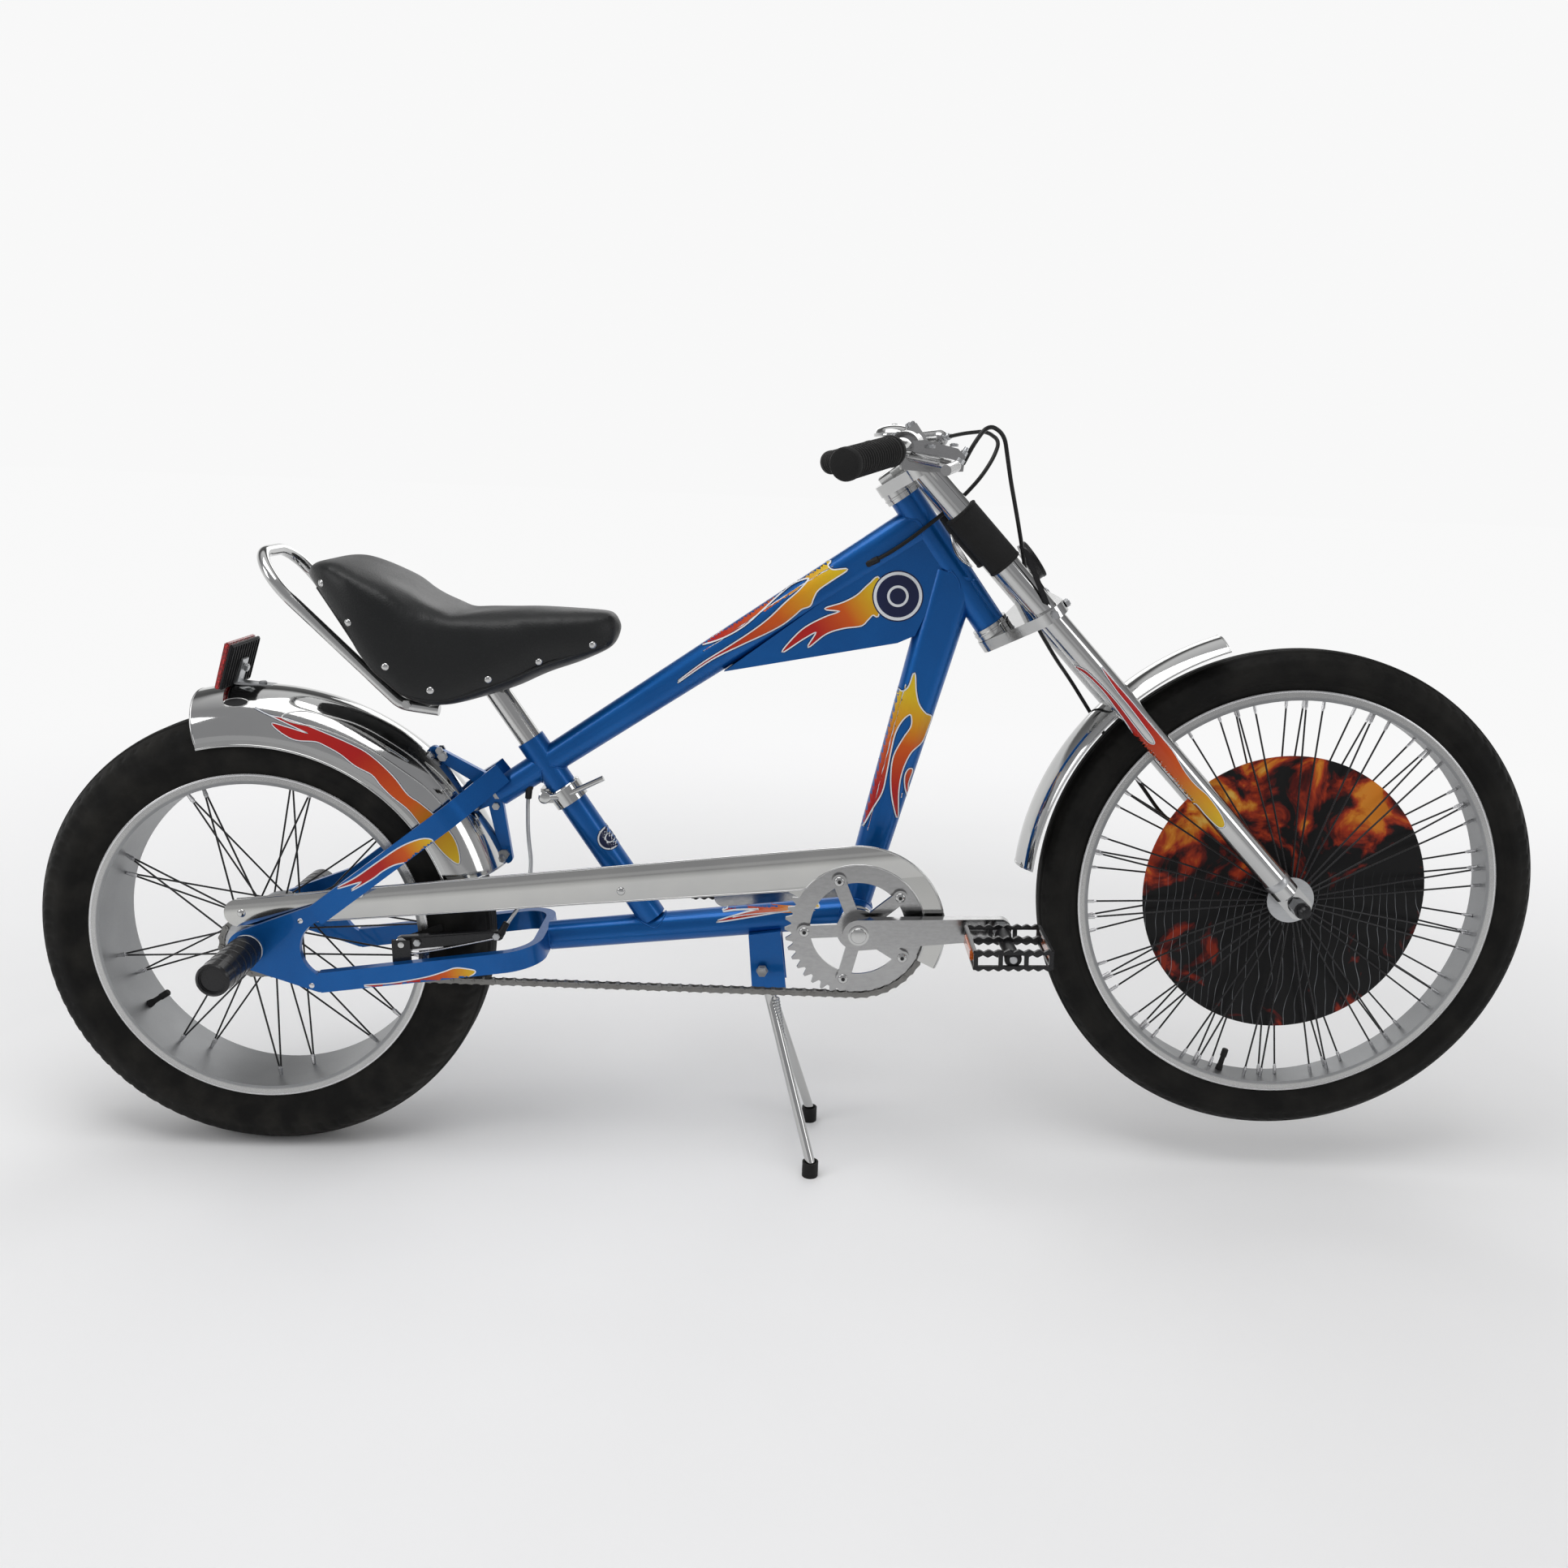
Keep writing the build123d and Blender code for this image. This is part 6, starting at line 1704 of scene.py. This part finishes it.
# Rear brake
# Two pressed steel arms, painted black, that turn on chromed posts, each with a flat return spring
# and a bolted rubber shoe.
for hand, word in both_sides:
    out = sideways(hand)
    lathe(
        f"brake_post_{word}", bike(181, 2, hand * 66.6), out,
        [(0, 0.0078), (0.0010, 0.0084), (0.0040, 0.0084), (0.0052, 0.0062), (0.0056, 0.0012)], chrome_plate,
        "frame", "chrome", 24,
    )
    slab(
        f"brake_spring_{word}", [(176, -8.5), (231, -4.5), (231, -1.5), (176, -5.0)], hand * 67.2 - 0.5,
        hand * 67.2 + 0.5, polished_alloy, "frame", "alloy", 0.0003
    )
    slab(
        f"brake_shoe_{word}", [(186, -4), (228, 12), (225, 21), (183, 6)],
        hand * 46.5 - (2.5 if hand < 0 else 0.3), hand * 46.5 + (0.3 if hand < 0 else 2.5), black_rubber,
        "frame", "rubber", 0.0008
    )
    slab(
        f"brake_arm_face_{word}",
        [(176, -3.5), (190, -6.0), (297, 7.0), (303, 12.0), (297, 17.0), (188, 9.0)], hand * 67.4 - 0.4,
        hand * 67.4 + 0.4, black_steel, "frame", "black_paint", 0.0004
    )
heads(
    "brake_bolts",
    [(bike(x, z, hand * 67.8), sideways(hand)) for x, z in ((200, 4), (296, 12)) for hand in (-1, 1)],
    bolt_heads, 0.0046, 0.0032, zinc_steel, "frame", "steel"
)
rod(
    "brake_arm_wire", [bike(170, -9, -69), bike(190, -11, -70), bike(240, -2, -70), bike(292, 9, -69.2)],
    0.0009, polished_alloy, "frame", "alloy", sides=2
)
wear(zinc_steel, "rear_brake_wire")

# Fork ends, clamps and sleeves
# Chromed straight legs in two bolted clamps with rubber sleeves between, flattened ends welded in their
# feet, and turned caps on their tops.
leg_way = (ahead * -0.668 + upward * 0.744).normalized()
leg_side = 62


def leg_point(t, y):
    return front_axle + leg_way * (t / 1000) + sideways(y / 1000)


for hand, word in both_sides:
    lathe(
        f"leg_cap_{word}", leg_point(712.2, hand * leg_side), leg_way,
        [(0, 0.0150), (0.0004, 0.0162), (0.0030, 0.0162), (0.0046, 0.0140), (0.0056, 0.0080), (0.0058, 0.001)],
        chrome_plate, "steering", "chrome", 40,
    )
    lathe(
        f"leg_foot_{word}", leg_point(50, hand * leg_side), -leg_way,
        [
            (0, 0.0156), (0.0010, 0.0162), (0.0070, 0.0160), (0.0160, 0.0145), (0.0240, 0.0118),
            (0.0300, 0.0075), (0.0320, 0.0015)
        ],
        zinc_steel, "steering", "alloy", 36,
    )
    for number, spot in enumerate((556.5, 634.0)):
        lathe(
            f"sleeve_band_{number + 1}_{word}", leg_point(spot, hand * leg_side), leg_way,
            [(0, 0.0200), (0.0004, 0.0206), (0.0022, 0.0206), (0.0026, 0.0200)], black_rubber, "steering",
            "rubber", 40,
        )
steer_ahead = badge_front
clamp_bolts = []
for s, word in ((-19.5, "upper"), (202.4, "lower")):
    centre = steer_top + steer_down * (s / 1000)
    for hand in (-1, 1):
        along = leg_point(0, hand * leg_side)
        share = (centre - along).dot(steer_down) / leg_way.dot(steer_down)
        on_leg = along + leg_way * share
        clamp_bolts.append((on_leg + steer_ahead * 0.0228 + sideways(hand * 0.004), steer_ahead))
        clamp_bolts.append((on_leg + sideways(hand * 0.0226) + steer_ahead * 0.004, sideways(hand)))
heads("clamp_bolts", clamp_bolts, bolt_heads, 0.0050, 0.0042, zinc_steel, "steering", "steel")
lathe(
    "steerer_cap", steer_top - steer_down * 0.0268, -steer_down,
    [(0, 0.0175), (0.0015, 0.0180), (0.0060, 0.0180), (0.0080, 0.0155), (0.0090, 0.0090), (0.0092, 0.001)],
    chrome_plate, "steering", "chrome", 6,
)
for s, way, word in ((0.0, -1, "upper"), (182.5, 1, "lower")):
    lathe(
        f"headset_ring_{word}", steer_top + steer_down * ((s + way * 4.2) / 1000), steer_down * way,
        [(0, 0.0222), (0.0006, 0.0234), (0.0026, 0.0234), (0.0034, 0.0222)], chrome_plate, "frame", "chrome",
        40,
    )
slab(
    "cable_clip", [(913, 482), (921, 478), (949, 416), (941, 418)], -79.5, -77.0, black_plastic, "steering",
    "black_plastic", 0.0006
)

# Front fender and reflector
# A short chromed fender with a rolled edge, carried by a strap from the lower clamp, and a round white
# reflector in a black cup on its own bracket.
for hand, word in both_sides:
    rod(
        f"front_fender_edge_{word}", arc_points(front_axle, 0.3245, 107, 173.5, hand * 0.0334), 0.0015,
        chrome_plate, "steering", "chrome", sides=2, steps=3
    )
for angle, word in ((107.2, "upper"), (173.2, "lower")):
    out = outward(angle)
    lip = []
    for i in range(25):
        share = -1 + i / 12
        lip.append(front_axle + out * (0.3240 + 0.0155 * (1 - share * share)) + sideways(0.0334 * share))
    rod(f"front_fender_lip_{word}", lip, 0.0013, chrome_plate, "steering", "chrome", sides=2, steps=3)
fender_out = outward(132)
heads(
    "front_fender_bolts",
    [(front_axle + fender_out * 0.3395 + sideways(y), fender_out) for y in (-0.016, 0.016)], bolt_heads,
    0.0046, 0.0032, zinc_steel, "steering", "steel"
)
white_lens = prism_lens(
    "white_reflector", (0.72, 0.74, 0.76, 1), (0.36, 0.38, 0.41, 1), 360.0, 0.0008, 0.7, 0.08, 0.9, 0.03, 0.35
)
reflector_middle = steer_top + steer_down * 0.149 + steer_ahead * 0.078
lathe(
    "front_reflector_lens", reflector_middle + steer_ahead * 0.0072, steer_ahead,
    [(0, 0.0225), (0.0022, 0.0222), (0.0034, 0.0205), (0.0040, 0.0150), (0.0042, 0.001)], white_lens,
    "steering", "white_lens", 48,
)
lathe(
    "front_reflector_rim", reflector_middle + steer_ahead * 0.0060, steer_ahead,
    [(0, 0.0236), (0.0002, 0.0244), (0.0036, 0.0244), (0.0042, 0.0236), (0.0040, 0.0226), (0.0010, 0.0224)],
    black_plastic, "steering", "black_plastic", 48,
)

# Handlebar, grips, levers and bell
# A chromed bar in two bolted risers, ribbed rubber grips, cast alloy levers with pivot screws and cable
# adjusters, and a turned bell.
for hand, word in both_sides:
    end = bike(706, 574, hand * 302)
    run = (bike(768, 590, hand * 172) - end).normalized()
    outline = [(0.0, 0.0030), (0.0003, 0.0120), (0.0012, 0.0152), (0.0035, 0.0165), (0.0090, 0.0165)]
    rib = ((0.0, 0.0146), (0.0008, 0.0142), (0.0018, 0.0146), (0.0026, 0.0160), (0.0042, 0.0160))
    for step in range(17):
        outline += [(0.0110 + 0.0060 * step + along, radius) for along, radius in rib]
    outline += [
        (0.1170, 0.0150), (0.1180, 0.0165), (0.1215, 0.0165), (0.1240, 0.0158), (0.1272, 0.0150),
        (0.1278, 0.0113)
    ]
    stands_for = ("grips",) if hand < 0 else ()
    lathe(f"grip_{word}", end - run * 0.006, run, outline, black_rubber, "steering", "rubber", 40, stands_for)
riser_bolts = []
for y in (-24, 24):
    for shift in (-0.0105, 0.0105):
        riser_bolts.append((bike(792, 598, y) + steer_ahead * shift - steer_down * 0.0158, -steer_down))
heads("riser_bolts", riser_bolts, bolt_heads, 0.0042, 0.0036, zinc_steel, "steering", "steel")
for word, start, way_from, way_to, neck, collar in (
    ("right", (831, 573.5, -150), (836, 574, -150), (848, 596, -146), 0.0045, 0.0058),
    ("left", (838, 604.5, 102), (836, 604, 104), (862, 610, 62), 0.0050, 0.0060),
):
    barrel = [
        (0, neck), (0.001, collar), (0.006, collar), (0.007, 0.0044), (0.015, 0.0044), (0.016, 0.0034),
        (0.020, 0.0030)
    ]
    way = bike(*way_to) - bike(*way_from)
    lathe(f"{word}_cable_adjuster", bike(*start), way, barrel, zinc_steel, "steering", "steel", 12)
heads(
    "lever_screws",
    [(bike(800, 590.2, -165), upward), (bike(800, 608.5, 130), upward), (bike(826, 592, -150), upward)],
    bolt_heads, 0.0046, 0.0030, zinc_steel, "steering", "steel",
)
lathe(
    "bell_dome", bike(778, 606, 80), upward,
    [
        (0, 0.0240), (0.0004, 0.0252), (0.0022, 0.0254), (0.0040, 0.0248), (0.0085, 0.0222), (0.0115, 0.0172),
        (0.0136, 0.0100), (0.0142, 0.0046), (0.0150, 0.0040), (0.0158, 0.0022), (0.0160, 0.0006)
    ],
    chrome_plate, "steering", "chrome", 48,
)
rod(
    "bell_lever", [bike(790, 604, 92), bike(800, 602, 100), bike(806, 603, 108), bike(806, 606, 113)], 0.0022,
    zinc_steel, "steering", "steel"
)

# Cable ends
# Short black plastic ferrules pushed on the brake cables where they enter the top tube, leave it and
# reach the brakes' arms, and the hub brake's pressed dish with its bolts.
for name, start, aim, body in (
    ("top_tube_ferrule", (752, 462, -18), (738, 455, -12), "frame"),
    ("lower_cable_ferrule", (329, 172, -7.5), (331, 190, -6), "frame"),
    ("brake_arm_ferrule", (306, 24, -62), (302, 17, -63), "frame"),
    ("hub_brake_ferrule", (1176, 105, 44.3), (1188, 100, 44), "steering"),
):
    lathe(
        name, bike(*start), bike(*aim) - bike(*start),
        [
            (-0.004, 0.0028), (-0.003, 0.0040), (0.007, 0.0042), (0.009, 0.0050), (0.012, 0.0050),
            (0.013, 0.0036)
        ],
        black_plastic, body, "black_plastic", 18,
    )
heads(
    "hub_brake_bolts", [(bike(1188, 100, 46.4), left), (bike(1248, 66, 46.4), left)], bolt_heads, 0.0046,
    0.0034, zinc_steel, "steering", "steel"
)
lathe(
    "hub_brake_dish", front_axle + sideways(0.0456), left,
    [
        (0, 0.0400), (0.0006, 0.0412), (0.0016, 0.0400), (0.0012, 0.0330), (0.0030, 0.0300), (0.0034, 0.0200),
        (0.0050, 0.0170), (0.0052, 0.0120)
    ],
    polished_alloy, "steering", "alloy", 64,
)

# Stand
# A stand of two chromed steel legs on one pivot bolt under the bottom bracket, with moulded rubber
# feet and a coiled return spring.
spring_top, spring_foot = bike(633, -88, -20), bike(641, -142, -24)
spring_way = (spring_foot - spring_top).normalized()
spring_ahead = spring_way.cross(left)
turns, steps_a_turn, coil_radius = 14, 12, 0.0042
coil = [spring_top - spring_way * 0.004]
for step in range(turns * steps_a_turn + 1):
    a = 2 * math.pi * step / steps_a_turn
    middle = spring_top.lerp(spring_foot, step / (turns * steps_a_turn))
    coil.append(middle + (left * math.cos(a) + spring_ahead * math.sin(a)) * coil_radius)
coil.append(spring_foot + spring_way * 0.004)
rod("stand_spring", coil, 0.0009, zinc_steel, "stand", "steel", sides=2, steps=2)
for hand, word in both_sides:
    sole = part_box("stand_feet")[0].z
    foot = bike(676, -302, hand * 73)
    lathe(
        f"stand_foot_{word}", Vector((foot.x, foot.y, sole)), Vector((0, 0, 1)),
        [
            (0.0001, 0.0085), (0.0006, 0.0100), (0.0030, 0.0101), (0.0036, 0.0094), (0.0050, 0.0094),
            (0.0056, 0.0101), (0.0090, 0.0101), (0.0096, 0.0094), (0.0110, 0.0094), (0.0116, 0.0101),
            (0.0165, 0.0098), (0.0190, 0.0075)
        ],
        black_rubber, "stand", "rubber", 32,
    )
heads(
    "stand_bolts", [(bike(616, -46, hand * 30), sideways(hand)) for hand in (-1, 1)], bolt_heads, 0.0075,
    0.0042, zinc_steel, "frame", "steel"
)
slab(
    "slotted_tab", [(752, -6), (776, -14), (779, -4), (756, 3)], -34.5, -32.5, zinc_steel, "frame", "steel",
    0.0004
)
